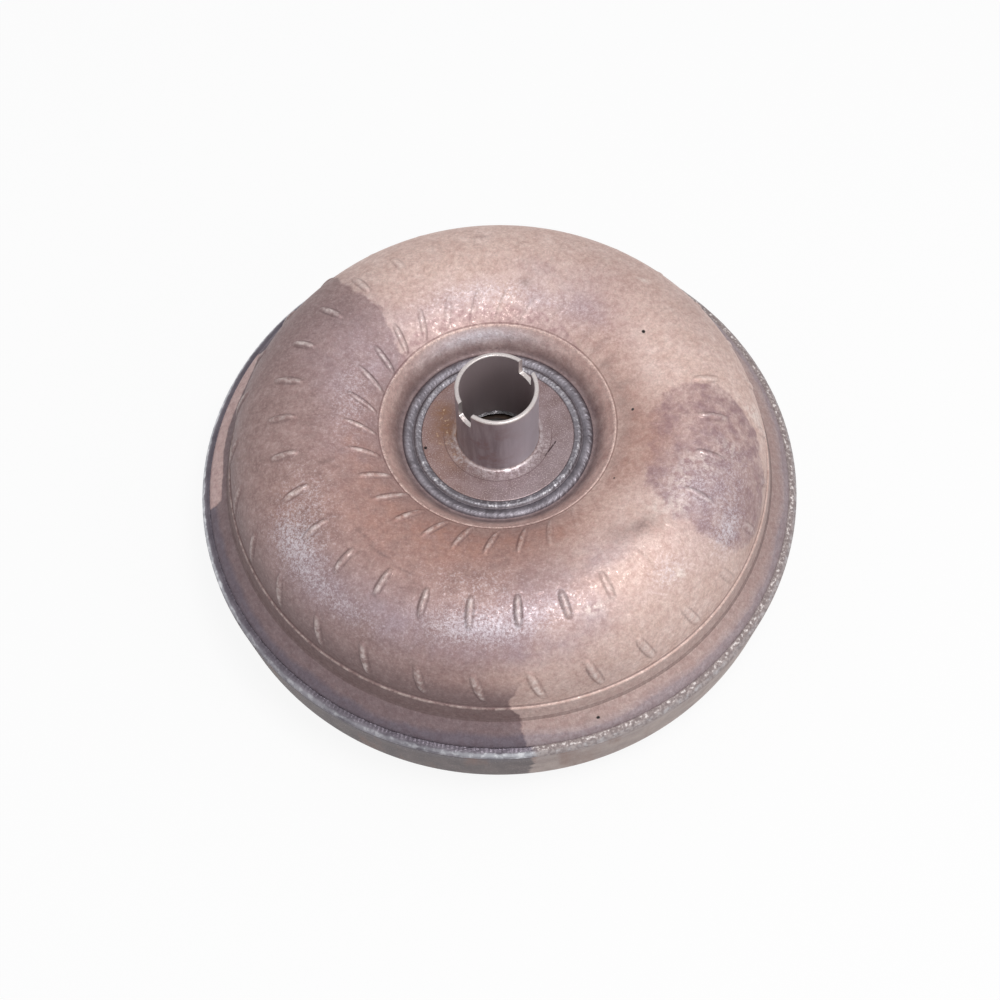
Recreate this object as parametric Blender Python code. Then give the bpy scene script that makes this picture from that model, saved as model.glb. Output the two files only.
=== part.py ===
"""A lock-up torque converter: the welded housing with its bladed impeller, and all that turns inside it.

It stands on its drive lugs, engine side down, with the pump-drive tube up. The origin is on the
axis, level with the lug faces. Every height is stacked from the lugs upwards, and every radius
follows from the torus, so that a piece keeps its fit when a size is changed.
"""

import math

import bmesh
import bpy

MM = 0.001
TURN = 2 * math.pi

# Driving dimensions
GAP = 0.3 * MM  # between solids that touch on the real converter
COLUMNS = 60  # facets round the housing
INNER_COLUMNS = 36  # facets round the wide pieces inside
NARROW_COLUMNS = 24  # facets round the pieces near the axis

LUG_COUNT = 3
LUG_HEIGHT = 11.7 * MM
LUG_WIDTH = 36.0 * MM
LUG_DEPTH = 24.0 * MM
LUG_INSET = 13.7 * MM  # the bolt circle inside the edge of the cover's flat face
LUG_HOLE_RADIUS = 5.1 * MM
PILOT_RADIUS = 22.0 * MM
PILOT_INSET = 1.5 * MM  # the pilot's tip above the lug faces

COVER_WALL = 4.5 * MM
COVER_SIDE_WALL = 4.2 * MM
COVER_CORNER_RADIUS = 10.0 * MM
COVER_DRAFT = 3.6 * MM  # how far the drum wall leans in towards the engine
COVER_DISH_RADIUS = 50.0 * MM
COVER_DISH_SLOPE = 8.0 * MM
COVER_DISH_DEPTH = 3.5 * MM

TORUS_RADIUS = 96.0 * MM  # crown of the impeller shell
IMPELLER_OUTER = 45.4 * MM  # crown to the widest point of the dome
IMPELLER_STRETCH = 1.672  # how far the half towards the hub would reach, against where the groove cuts it
IMPELLER_HEIGHT = 46.4 * MM
SHELL_WALL = 3.0 * MM
GROOVE_RADIUS = 60.3 * MM  # the crease round the sunk middle
STEP_LEDGE = 1.2 * MM
STEP_RISE = 2.8 * MM  # centre of the torus up to the ledge
STEP_HEIGHT = 9.6 * MM
STEP_DRAFT = 2.2 * MM
SKIRT_WIDTH = 11.0 * MM
SKIRT_DROP = 9.2 * MM
SKIRT_FLANGE = 11.5 * MM
RIM_HEIGHT = 4.0 * MM  # the cover's rim below the skirt's shoulder

BLADES = 30
BLADE_THICKNESS = 1.5 * MM
BLADE_START = math.radians(-2.12)
HOUSING_PHASE = BLADE_START - TURN / COLUMNS / 2  # so that each blade lies in the middle of a column
SWEEP_INNER = math.radians(3.5)  # the blade's ends run ahead of its middle
SWEEP_OUTER = math.radians(2.57)
CORE_OUTER = 17.0 * MM
CORE_STRETCH = 1.15  # the core's half towards the hub, against its outer half
CORE_HEIGHT = 15.0 * MM
CORE_WALL = 1.6 * MM
RIB_HEIGHT = 1.2 * MM  # ribs on the dome: pockets for the blades' tabs, pressed out from inside
RIB_WIDTH = 4.2 * MM
RIB_MARGIN = 0.9 * MM

HUB_RADIUS = 21.0 * MM
HUB_WALL = 2.3 * MM
HUB_LENGTH = 45.3 * MM  # tube above its flange
HUB_CHAMFER = 0.8 * MM
HUB_FLANGE_RISE = 26.1 * MM  # centre of the torus up to the flange's face
HUB_FLANGE_THICKNESS = 8.0 * MM
HUB_FLANGE_RADIUS = 39.8 * MM
HUB_FILLET = 1.6 * MM
HUB_WELD_WIDTH = 8.9 * MM
SLOT_WIDTH = 9.5 * MM
SLOT_DEPTH = 11.0 * MM
SLOT_ANGLE = math.radians(38)

TURBINE_BLADES = 27
TURBINE_SPLIT = 2.1 * MM  # centre of the torus down to the turbine's rim
TURBINE_CLEARANCE = 1.2 * MM  # inside the impeller shell
TURBINE_EYE_ANGLE = 138.2  # where the flange cuts the turbine's curve, in degrees past its rim
TURBINE_HEIGHT = 41.5 * MM
TURBINE_WALL = 2.2 * MM
TURBINE_FLANGE_RADIUS = 45.7 * MM
TURBINE_FLANGE_THICKNESS = 5.5 * MM

JOURNAL_RADIUS = 24.0 * MM
SPLINE_TEETH = 16
SPLINE_ROOT = 24.6 * MM
SPLINE_TIP = 26.6 * MM
SHAFT_SPLINE_TEETH = 20
SHAFT_SPLINE_TIP = 10.8 * MM
SHAFT_SPLINE_ROOT = 12.2 * MM
WASHER_THICKNESS = 2.5 * MM
WASHER_BORE = 14.0 * MM

LINING_THICKNESS = 1.5 * MM
LINING_WIDTH = 22.0 * MM
PISTON_THICKNESS = 3.0 * MM
PISTON_COLLAR = 4.0 * MM
PISTON_COLLAR_HEIGHT = 8.6 * MM
PISTON_RIM_CLEARANCE = 3.1 * MM
PISTON_RIM_HEIGHT = 25.4 * MM
LOCKUP_TRAVEL = 1.3 * MM
DAMPER_THICKNESS = 2.5 * MM
DAMPER_COLLAR = 6.0 * MM
DAMPER_COLLAR_HEIGHT = 11.0 * MM
SPRING_COUNT = 6
SPRING_RADIUS = 8.2 * MM
SPRING_TURNS = 6
RETAINER_THICKNESS = 2.0 * MM
CLAW_RISE = 10.0 * MM  # the plate's edge inside the springs, where the claws start to rise
CLAW_REACH = 9.0 * MM
STOP_CLEARANCE = 1.0 * MM
BEARING_THICKNESS = 3.7 * MM
BEARING_WIDTH = 14.6 * MM

RACE_RADIUS = 21.5 * MM
RACE_SPLINE_TEETH = 20
RACE_SPLINE_TIP = 14.5 * MM
RACE_SPLINE_ROOT = 16.2 * MM
ROLLERS = 8
ROLLER_RADIUS = 3.2 * MM
CAM_WALL = 6.5 * MM
CAM_KEY = 2.0 * MM
CAM_KEYS = 6
STATOR_WALL = 7.0 * MM
STATOR_FRONT_WALL = 3.2 * MM
STATOR_BLADES = 17
STATOR_BLADE_HEIGHT = 24.0 * MM
STATOR_RING_WALL = 1.8 * MM
STATOR_RING_GAP = 5.5 * MM  # room for the slanting ends of the blades on either side
PLATE_THICKNESS = 2.4 * MM
SNAP_RING_THICKNESS = 1.2 * MM
SNAP_RING_BITE = 1.4 * MM  # how far the ring reaches into its groove

# Heights, stacked from the lug faces
COVER_FACE_Z = LUG_HEIGHT + GAP
COVER_INNER_Z = COVER_FACE_Z + COVER_WALL
DISH_FACE_Z = COVER_FACE_Z - COVER_DISH_DEPTH
DISH_INNER_Z = COVER_INNER_Z - COVER_DISH_DEPTH
LINING_Z = COVER_INNER_Z + GAP
PISTON_Z = LINING_Z + LINING_THICKNESS + GAP
PISTON_TOP_Z = PISTON_Z + PISTON_THICKNESS
COLLAR_Z = PISTON_Z - 1.6 * MM
COLLAR_TOP_Z = COLLAR_Z + PISTON_COLLAR_HEIGHT
DAMPER_Z = COLLAR_TOP_Z + GAP
DAMPER_TOP_Z = DAMPER_Z + DAMPER_THICKNESS
TURBINE_BOTTOM_Z = DAMPER_TOP_Z + 2 * LOCKUP_TRAVEL
TURBINE_Z = TURBINE_BOTTOM_Z + TURBINE_HEIGHT
TORUS_Z = TURBINE_Z + TURBINE_SPLIT
LEDGE_Z = TORUS_Z + STEP_RISE
CORNER_Z = LEDGE_Z - STEP_HEIGHT
SHOULDER_Z = CORNER_Z - SKIRT_DROP
RIM_Z = SHOULDER_Z - RIM_HEIGHT
FLANGE_Z = TORUS_Z + HUB_FLANGE_RISE
FLANGE_BOTTOM_Z = FLANGE_Z - HUB_FLANGE_THICKNESS
HUB_TOP_Z = FLANGE_Z + HUB_LENGTH
WASHER_Z = DISH_INNER_Z + GAP
TURBINE_HUB_Z = WASHER_Z + WASHER_THICKNESS + GAP
TURBINE_EYE_Z = TURBINE_Z - TURBINE_HEIGHT * math.sin(math.radians(TURBINE_EYE_ANGLE))
TURBINE_FLANGE_TOP_Z = TURBINE_EYE_Z + TURBINE_WALL + 0.2 * MM
TURBINE_FLANGE_Z = TURBINE_FLANGE_TOP_Z - TURBINE_FLANGE_THICKNESS
TURBINE_BEARING_Z = TURBINE_FLANGE_TOP_Z + GAP
STATOR_Z = TURBINE_BEARING_Z + BEARING_THICKNESS + GAP
IMPELLER_BEARING_Z = FLANGE_BOTTOM_Z - GAP - BEARING_THICKNESS
STATOR_TOP_Z = IMPELLER_BEARING_Z - GAP
CLUTCH_Z = STATOR_Z + STATOR_FRONT_WALL + GAP
SNAP_RING_Z = STATOR_TOP_Z - 1.5 * MM - SNAP_RING_THICKNESS
PLATE_Z = SNAP_RING_Z - GAP - PLATE_THICKNESS
CLUTCH_TOP_Z = PLATE_Z - GAP

# Radii, from the torus outwards and inwards
LEDGE_RADIUS = TORUS_RADIUS + IMPELLER_OUTER + STEP_LEDGE
CORNER_RADIUS = LEDGE_RADIUS + STEP_DRAFT
SKIRT_RADIUS = CORNER_RADIUS + SKIRT_WIDTH
COVER_RIM_INNER = SKIRT_RADIUS + GAP
COVER_RIM_OUTER = COVER_RIM_INNER + COVER_SIDE_WALL
COVER_FOOT_OUTER = COVER_RIM_OUTER - COVER_DRAFT
COVER_FOOT_INNER = COVER_FOOT_OUTER - COVER_SIDE_WALL
COVER_FLAT_RADIUS = COVER_FOOT_OUTER - COVER_CORNER_RADIUS
LUG_RADIUS = COVER_FLAT_RADIUS - LUG_INSET
HUB_BORE = HUB_RADIUS - HUB_WALL
WELD_INNER = HUB_FLANGE_RADIUS + GAP
WELD_OUTER = WELD_INNER + HUB_WELD_WIDTH
SHELL_EYE = WELD_OUTER + GAP
IMPELLER_INNER = IMPELLER_STRETCH * (TORUS_RADIUS - GROOVE_RADIUS)
TURBINE_OUTER = IMPELLER_OUTER - SHELL_WALL - TURBINE_CLEARANCE
TURBINE_EYE = TURBINE_FLANGE_RADIUS + GAP
TURBINE_INNER = (TURBINE_EYE - TORUS_RADIUS) / math.cos(math.radians(TURBINE_EYE_ANGLE))
RIM_OUTER = COVER_FOOT_INNER - PISTON_RIM_CLEARANCE
RIM_INNER = RIM_OUTER - 2.5 * MM
SPRING_LINE = RIM_INNER * math.cos(math.pi / INNER_COLUMNS) - GAP - SPRING_RADIUS
LINING_OUTER = COVER_FLAT_RADIUS - 0.8 * MM
LINING_INNER = LINING_OUTER - LINING_WIDTH
PISTON_BORE = JOURNAL_RADIUS + GAP
DAMPER_BORE_ROOT = SPLINE_ROOT + GAP
DAMPER_BORE_TIP = SPLINE_TIP + GAP
CLAW_ROOT = SPRING_LINE - SPRING_RADIUS - CLAW_RISE
ROLLER_LINE = RACE_RADIUS + GAP + ROLLER_RADIUS
CAM_POCKET = ROLLER_LINE + ROLLER_RADIUS + GAP
CAM_LAND = RACE_RADIUS + 1.2 * MM
CAM_OUTER = CAM_POCKET + 1.0 * MM + CAM_WALL
STATOR_BORE = CAM_OUTER + GAP
STATOR_HUB = STATOR_BORE + CAM_KEY + STATOR_WALL
WALL_BORE = RACE_RADIUS - 3.0 * MM


def clear_scene():
    for old in list(bpy.data.objects):
        bpy.data.objects.remove(old, do_unlink=True)


def finish(name, red, green, blue, roughness, metallic=1.0):
    """A plain metal or lining finish, with the colour as the photograph shows it."""
    made = bpy.data.materials.new(name)
    made.use_nodes = True
    shader = made.node_tree.nodes["Principled BSDF"]
    shader.inputs["Base Color"].default_value = (red, green, blue, 1.0)
    shader.inputs["Roughness"].default_value = roughness
    shader.inputs["Metallic"].default_value = metallic
    return made


def place(name, bm, material, parent=None):
    """Turns a bmesh into an object whose origin is on the axis."""
    bmesh.ops.recalc_face_normals(bm, faces=bm.faces)
    mesh = bpy.data.meshes.new(name)
    bm.to_mesh(mesh)
    bm.free()
    mesh.shade_smooth()
    mesh.set_sharp_from_angle(angle=math.radians(35))
    mesh.materials.append(material)
    made = bpy.data.objects.new(name, mesh)
    bpy.context.scene.collection.objects.link(made)
    made.parent = parent
    return made


def axle(name):
    """An empty on the axis that carries the pieces of one moving body."""
    made = bpy.data.objects.new(name, None)
    bpy.context.scene.collection.objects.link(made)
    return made


def lathe(profile, columns=INNER_COLUMNS, start=0.0, sweep=TURN):
    """Spins a closed outline of (radius, height) points round the axis."""
    bm = bmesh.new()
    points = [bm.verts.new((r * math.cos(start), r * math.sin(start), z)) for r, z in profile]
    edges = [bm.edges.new((a, b)) for a, b in zip(points, points[1:] + points[:1])]
    whole = sweep >= TURN
    caps = [] if whole else [bm.faces.new(points)]
    spun = bmesh.ops.spin(
        bm,
        geom=caps + edges + points,
        axis=(0, 0, 1),
        cent=(0, 0, 0),
        angle=sweep,
        steps=columns,
        use_merge=whole,
    )
    if not whole and caps and not [g for g in spun["geom_last"] if isinstance(g, bmesh.types.BMFace)]:
        bm.faces.new([g for g in spun["geom_last"] if isinstance(g, bmesh.types.BMVert)])
    bmesh.ops.remove_doubles(bm, verts=bm.verts, dist=0.001 * MM)
    return bm


def prism(outline, low, high):
    """Extrudes a closed outline of (x, y) points upwards."""
    bm = bmesh.new()
    face = bm.faces.new([bm.verts.new((x, y, low)) for x, y in outline])
    grown = bmesh.ops.extrude_face_region(bm, geom=[face])["geom"]
    top = [g for g in grown if isinstance(g, bmesh.types.BMVert)]
    bmesh.ops.translate(bm, verts=top, vec=(0, 0, high - low))
    return bm


def toothed(teeth, root, tip, start=0.0):
    """The outline of a spline: a land and a gap for each tooth, with sloping flanks."""
    outline = []
    for tooth in range(teeth):
        for share, radius in ((-0.30, root), (-0.17, tip), (0.17, tip), (0.30, root)):
            angle = start + (tooth + share) * TURN / teeth
            outline.append((radius * math.cos(angle), radius * math.sin(angle)))
    return outline


def ring_outline(radius, count, start=0.0):
    return [
        (radius * math.cos(start + i * TURN / count), radius * math.sin(start + i * TURN / count))
        for i in range(count)
    ]


def boolean(target, bm, operation="DIFFERENCE"):
    """Cuts a helper shape from an object, or joins it on."""
    helper = place(f"{target.name}_{operation.lower()}_{len(target.modifiers)}", bm, target.data.materials[0])
    helper.hide_render = True
    helper.display_type = "WIRE"
    helper.parent = target.parent
    step = target.modifiers.new(operation.title(), "BOOLEAN")
    step.operation = operation
    step.object = helper
    return helper


def offset(points, distance):
    """The outline that lies this far to the inside of an open outline, which runs outwards and down."""
    moved = []
    for i, (r, z) in enumerate(points):
        before = points[max(i - 1, 0)]
        after = points[min(i + 1, len(points) - 1)]
        dr, dz = after[0] - before[0], after[1] - before[1]
        length = math.hypot(dr, dz)
        moved.append((r + dz / length * distance, z - dr / length * distance))
    return moved


def arc(centre_r, centre_z, radius, first, last, steps):
    """Points on a round corner, from one angle to another, in degrees."""
    angles = [math.radians(first + (last - first) * i / steps) for i in range(steps + 1)]
    return [(centre_r + radius * math.cos(a), centre_z + radius * math.sin(a)) for a in angles]


# Housing: the engine-side cover


def front_cover(material):
    corner = COVER_CORNER_RADIUS
    inner_corner = corner - COVER_WALL
    foot_z = COVER_FACE_Z + corner
    slope_end = COVER_DISH_RADIUS + COVER_DISH_SLOPE
    outer = [(0, DISH_FACE_Z), (COVER_DISH_RADIUS, DISH_FACE_Z), (slope_end, COVER_FACE_Z)]
    outer += arc(COVER_FLAT_RADIUS, foot_z, corner, -90, 0, 3)
    chamfer = 0.6 * MM
    rim = [
        (COVER_RIM_OUTER, RIM_Z - chamfer),
        (COVER_RIM_OUTER - chamfer, RIM_Z),
        (COVER_RIM_INNER, RIM_Z),
    ]
    seat_z = SHOULDER_Z - SKIRT_FLANGE - GAP
    lean = COVER_DRAFT * (RIM_Z - seat_z) / (RIM_Z - foot_z)
    seat = [(COVER_RIM_INNER, seat_z), (COVER_RIM_OUTER - lean - COVER_SIDE_WALL, seat_z)]
    inner = arc(COVER_FLAT_RADIUS, foot_z, inner_corner, 0, -90, 2)
    inner[0] = (COVER_FOOT_INNER, foot_z)
    inner += [(slope_end, COVER_INNER_Z), (COVER_DISH_RADIUS, DISH_INNER_Z), (0, DISH_INNER_Z)]
    return place("front_cover", lathe(outer + rim + seat + inner, COLUMNS, HOUSING_PHASE), material)


def pilot_boss(material):
    """The spigot that centres the converter in the crankshaft, with a shallow turning recess."""
    top = DISH_FACE_Z - GAP
    chamfer = 1.2 * MM
    recess = PILOT_RADIUS * 0.45
    profile = [
        (0, top),
        (0, PILOT_INSET + chamfer),
        (recess, PILOT_INSET + chamfer),
        (recess + chamfer, PILOT_INSET),
        (PILOT_RADIUS - chamfer, PILOT_INSET),
        (PILOT_RADIUS, PILOT_INSET + chamfer),
        (PILOT_RADIUS, top),
    ]
    return place("pilot_boss", lathe(profile, NARROW_COLUMNS), material)


def drive_lugs(material):
    """Welded blocks that the flexplate bolts to. Their outer edge follows the cover."""
    inner, outer = LUG_RADIUS - LUG_DEPTH / 2, LUG_RADIUS + LUG_DEPTH / 2
    half = LUG_WIDTH / 2
    spread = math.asin(half / outer)
    edge = [(outer * math.cos(a), outer * math.sin(a)) for a in (-spread, -spread / 3, spread / 3, spread)]
    corner = 4.0 * MM
    outline = edge + [(inner + corner, half), (inner, half - corner)]
    outline += [(inner, corner - half), (inner + corner, -half)]
    shape = prism(outline, 0.0, LUG_HEIGHT)
    first = place("drive_lug_1", shape, material)
    lugs = [first]
    for number in range(2, LUG_COUNT + 1):
        copy = bpy.data.objects.new(f"drive_lug_{number}", first.data)
        bpy.context.scene.collection.objects.link(copy)
        lugs.append(copy)
    for number, lug in enumerate(lugs):
        hole = ring_outline(LUG_HOLE_RADIUS, 16)
        drill = prism([(x + LUG_RADIUS, y) for x, y in hole], -LUG_HEIGHT, 2 * LUG_HEIGHT)
        cutter = boolean(lug, drill)
        for piece in (lug, cutter):
            piece.rotation_euler.z = math.radians(90) + number * TURN / LUG_COUNT
    return lugs


# Housing: the impeller shell and its blades


def dome_point(angle):
    """A point on the outside of the dome, by its angle at the torus centre: 0 at the rim, 90 at the crown."""
    a = math.radians(angle)
    reach = IMPELLER_OUTER if angle <= 90 else IMPELLER_INNER
    return (TORUS_RADIUS + reach * math.cos(a), TORUS_Z + IMPELLER_HEIGHT * math.sin(a))


def groove_angle():
    return math.degrees(math.acos((GROOVE_RADIUS - TORUS_RADIUS) / IMPELLER_INNER))


def sweep(angle):
    """How far the blade has run round by this point of the dome: least in the middle."""
    middle = 72.5
    if angle >= middle:
        share = min((angle - middle) / (115.4 - middle), 1.25)
        return SWEEP_INNER * share * share
    share = (middle - angle) / (middle - 23.1)
    return SWEEP_OUTER * share * share


# Rows of ribs on the dome: the angle where each starts and ends
RIB_ROWS = ((122.5, 108.0), (82.5, 63.0), (33.7, 12.5))


def dome_rows():
    """The angles of the dome's rows of points: the ribs' ends, and what the curve needs between them."""
    return sorted([end for row in RIB_ROWS for end in row] + [95.0, 48.0, 4.0], reverse=True)


GROOVE_ROWS = 5  # rows of points from the shell's eye up to the crease


def shell_outline():
    """The outside of the shell from its eye to the flange's edge, with each point's sweep."""
    eye_z = FLANGE_Z - 0.5 * MM
    crease = dome_point(groove_angle())
    drop = crease[1] - eye_z
    width = crease[0] - SHELL_EYE
    points = [
        ((SHELL_EYE, eye_z), 0.0),
        ((SHELL_EYE + 0.15 * width, eye_z + 0.03 * drop), 0.0),
        ((SHELL_EYE + 0.37 * width, eye_z + 0.37 * drop), 0.0),
        ((SHELL_EYE + 0.66 * width, eye_z + 0.68 * drop), 0.0),
        (crease, sweep(groove_angle())),
    ]
    points += [(dome_point(a), sweep(a)) for a in dome_rows()]
    points += [
        ((LEDGE_RADIUS - 0.3 * MM, LEDGE_Z), 0.0),
        ((LEDGE_RADIUS, LEDGE_Z - 0.8 * MM), 0.0),
        ((CORNER_RADIUS - 0.4 * MM, CORNER_Z + 1.0 * MM), 0.0),
        ((CORNER_RADIUS + 0.8 * MM, CORNER_Z), 0.0),
        ((CORNER_RADIUS + 0.55 * SKIRT_WIDTH, CORNER_Z - 0.38 * SKIRT_DROP), 0.0),
        ((SKIRT_RADIUS - 1.2 * MM, SHOULDER_Z + 2.0 * MM), 0.0),
        ((SKIRT_RADIUS, SHOULDER_Z), 0.0),
        ((SKIRT_RADIUS, SHOULDER_Z - SKIRT_FLANGE), 0.0),
    ]
    return points


def inside_angles():
    """Where the inside of the dome and the blades' edges have their points."""
    return [3.0, 32.0, 60.0, 88.0, 110.0, groove_angle() - 1.0]


def inside_dome(depth):
    """The curve that lies this deep under the dome, from its widest point in to the groove."""
    fine = [dome_point(a / 2) for a in range(2 * round(groove_angle() + 10), -20, -1)]
    path = offset(fine, depth)[::-1]
    return [path[round(2 * a) + 19] for a in inside_angles()]


def shell_inside():
    """The inside of the shell, from the flange's edge back to the eye, one wall further in."""
    inner_corner = CORNER_RADIUS + 0.8 * MM
    skirt = [
        (SKIRT_RADIUS - SHELL_WALL, SHOULDER_Z - SKIRT_FLANGE),
        (SKIRT_RADIUS - SHELL_WALL, SHOULDER_Z - 1.0 * MM),
        (inner_corner - 1.0 * MM, CORNER_Z - SHELL_WALL),
    ]
    dome = inside_dome(SHELL_WALL)
    eye = [(SHELL_EYE, FLANGE_Z - 0.5 * MM - SHELL_WALL)]
    return skirt + dome + eye


def impeller_shell(material):
    """The dome as a grid that is sheared along the blades, so that each rib lies in one cell of it."""
    outside = shell_outline()
    inside = [(point, 0.0) for point in shell_inside()]
    rows = outside + inside
    bm = bmesh.new()
    pitch = TURN / COLUMNS
    grid = []
    for (r, z), lead in rows:
        first = HOUSING_PHASE + lead
        angles = [first + i * pitch for i in range(COLUMNS)]
        grid.append([bm.verts.new((r * math.cos(a), r * math.sin(a), z)) for a in angles])
    cells = {}
    for row in range(len(rows)):
        lower, upper = grid[row], grid[(row + 1) % len(rows)]
        for i in range(COLUMNS):
            j = (i + 1) % COLUMNS
            cells[row, i] = bm.faces.new((lower[i], lower[j], upper[j], upper[i]))
    bmesh.ops.recalc_face_normals(bm, faces=bm.faces)
    per_blade = COLUMNS // BLADES
    for start, _ in RIB_ROWS:
        row = GROOVE_ROWS + dome_rows().index(start)
        for i in range(0, COLUMNS, per_blade):
            j = (i + 1) % COLUMNS
            near = (grid[row][i].co + grid[row][j].co) / 2
            far = (grid[row + 1][i].co + grid[row + 1][j].co) / 2
            raise_rib(bm, cells[row, i], near, far)
    return place("impeller_shell", bm, material)


def raise_rib(bm, face, near, far):
    """Raises a narrow, tapered rib on one cell, from near to far, along the blade whose tab it holds."""
    centre = (near + far) / 2
    along = far - near
    half_length = along.length / 2 - RIB_MARGIN
    along.normalize()
    normal = face.normal.copy()
    across = normal.cross(along)
    for rise, length, width in ((0.0, half_length, 0.5), (RIB_HEIGHT, half_length * 0.78, 0.2)):
        bmesh.ops.inset_individual(bm, faces=[face], thickness=0.05 * MM)
        for vert in face.verts:
            side = vert.co - centre
            vert.co = (
                centre
                + along * math.copysign(length, side.dot(along))
                + across * math.copysign(RIB_WIDTH * width, side.dot(across))
                + normal * rise
            )


def bladed_ring(name, material, parent, count, core, wall, leads, start, thickness):
    """Blades fused with their core ring: wide cells are the ring between blades, narrow ones carry a blade.

    core and wall are outlines of the same length: where each blade leaves the ring, and where it
    meets the shell. leads holds the blade's run round the axis at each of their points.
    """
    bm = bmesh.new()
    steps = len(core)

    def ring(point, row):
        r, z = point
        made = []
        for blade in range(count):
            middle = start + blade * TURN / count + leads[row]
            half = math.asin(thickness / 2 / r)
            for a in (middle - half, middle + half):
                made.append(bm.verts.new((r * math.cos(a), r * math.sin(a), z)))
        return made

    root = [ring(core[row], row) for row in range(steps)]
    tip = [ring(wall[row], row) for row in range(steps)]
    (outer_r, outer_z), (inner_r, inner_z) = core[0], core[-1]
    rear = [ring((outer_r - CORE_WALL, outer_z), 0), ring((inner_r + CORE_WALL, inner_z), steps - 1)]
    around = 2 * count
    for i in range(around):
        j = (i + 1) % around
        on_blade = i % 2 == 0
        for row in range(steps - 1):
            if on_blade:
                bm.faces.new((root[row][i], tip[row][i], tip[row + 1][i], root[row + 1][i]))
                bm.faces.new((root[row][j], tip[row][j], tip[row + 1][j], root[row + 1][j]))
                bm.faces.new((tip[row][i], tip[row][j], tip[row + 1][j], tip[row + 1][i]))
            else:
                bm.faces.new((root[row][i], root[row][j], root[row + 1][j], root[row + 1][i]))
        for row, behind in ((0, rear[0]), (steps - 1, rear[1])):
            bm.faces.new((root[row][i], root[row][j], behind[j], behind[i]))
            if on_blade:
                bm.faces.new((root[row][i], root[row][j], tip[row][j], tip[row][i]))
        bm.faces.new((rear[0][i], rear[0][j], rear[1][j], rear[1][i]))
    return place(name, bm, material, parent)


def core_outline(sign, base_z, count):
    """The curved face of a core ring: sign is 1 for the impeller's, which arches up."""
    inner = CORE_OUTER * CORE_STRETCH
    points = []
    for step in range(count):
        angle = 2.0 + 170.0 * step / (count - 1)
        a = math.radians(angle)
        reach = CORE_OUTER if angle <= 90 else inner
        points.append((TORUS_RADIUS + reach * math.cos(a), base_z + sign * CORE_HEIGHT * math.sin(a)))
    return points


def impeller_blades(material):
    lift = TORUS_Z + 1.0 * MM
    facet = (TORUS_RADIUS + IMPELLER_OUTER) * (1 - math.cos(math.pi / COLUMNS))
    clear = SHELL_WALL + GAP + facet
    wall = inside_dome(clear)
    leads = [sweep(a) for a in inside_angles()]
    core = core_outline(1, lift, len(wall))
    return bladed_ring(
        "impeller_blades", material, None, BLADES, core, wall, leads, BLADE_START, BLADE_THICKNESS
    )


def closing_weld(material):
    """The bead in the corner between the skirt's shoulder and the cover's rim."""
    inner = SKIRT_RADIUS + GAP
    low = RIM_Z + GAP
    rise = SHOULDER_Z - low
    profile = [
        (inner, low),
        (inner + 3.6 * MM, low),
        (inner + 3.0 * MM, low + 0.5 * rise),
        (inner + 1.5 * MM, low + 0.88 * rise),
        (inner, low + rise - 0.1 * MM),
    ]
    return place("closing_weld", lathe(profile, COLUMNS, HOUSING_PHASE), material)


# Housing: the pump-drive hub


def impeller_hub(material):
    bottom = FLANGE_BOTTOM_Z
    profile = [
        (HUB_BORE, HUB_TOP_Z - HUB_CHAMFER / 2),
        (HUB_BORE + HUB_CHAMFER / 2, HUB_TOP_Z),
        (HUB_RADIUS - HUB_CHAMFER, HUB_TOP_Z),
        (HUB_RADIUS, HUB_TOP_Z - HUB_CHAMFER),
        (HUB_RADIUS, FLANGE_Z + HUB_FILLET),
        (HUB_RADIUS + HUB_FILLET * 0.3, FLANGE_Z + HUB_FILLET * 0.3),
        (HUB_RADIUS + HUB_FILLET, FLANGE_Z),
        (HUB_FLANGE_RADIUS - 0.8 * MM, FLANGE_Z),
        (HUB_FLANGE_RADIUS, FLANGE_Z - 0.6 * MM),
        (HUB_FLANGE_RADIUS, bottom + 1.0 * MM),
        (HUB_FLANGE_RADIUS - 1.0 * MM, bottom),
        (HUB_BORE, bottom),
    ]
    hub = place("impeller_hub", lathe(profile), material)
    for side in (0, 1):
        reach, half = 2 * HUB_RADIUS, SLOT_WIDTH / 2
        outline = [(0.4 * HUB_RADIUS, -half), (reach, -half), (reach, half), (0.4 * HUB_RADIUS, half)]
        cutter = boolean(hub, prism(outline, HUB_TOP_Z - SLOT_DEPTH, HUB_TOP_Z + SLOT_DEPTH))
        cutter.rotation_euler.z = SLOT_ANGLE + side * math.pi
    return hub


def hub_weld(material):
    """Two passes side by side, which fill the groove between the flange and the shell's eye."""
    low = FLANGE_Z - HUB_FLANGE_THICKNESS * 0.6
    top = FLANGE_Z + 0.9 * MM
    width = WELD_OUTER - WELD_INNER
    profile = [
        (WELD_INNER, low),
        (WELD_OUTER, low),
        (WELD_OUTER, FLANGE_Z - 0.3 * MM),
        (WELD_OUTER - 0.17 * width, top),
        (WELD_INNER + 0.5 * width, FLANGE_Z - 0.2 * MM),
        (WELD_INNER + 0.2 * width, top),
        (WELD_INNER, FLANGE_Z - 0.3 * MM),
    ]
    return place("hub_weld", lathe(profile), material)


# Turbine


def turbine_point(angle):
    a = math.radians(angle)
    reach = TURBINE_OUTER if angle <= 90 else TURBINE_INNER
    return (TORUS_RADIUS + reach * math.cos(a), TURBINE_Z - TURBINE_HEIGHT * math.sin(a))


TURBINE_ANGLES = (0, 32, 62, 92, 120)


def turbine_inside(depth):
    """The curve that lies this far inside the turbine shell."""
    fine = [turbine_point(a) for a in range(-1, TURBINE_ANGLES[-1] + 2)]
    path = offset(fine, depth)
    return [path[a + 1] for a in TURBINE_ANGLES]


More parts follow.
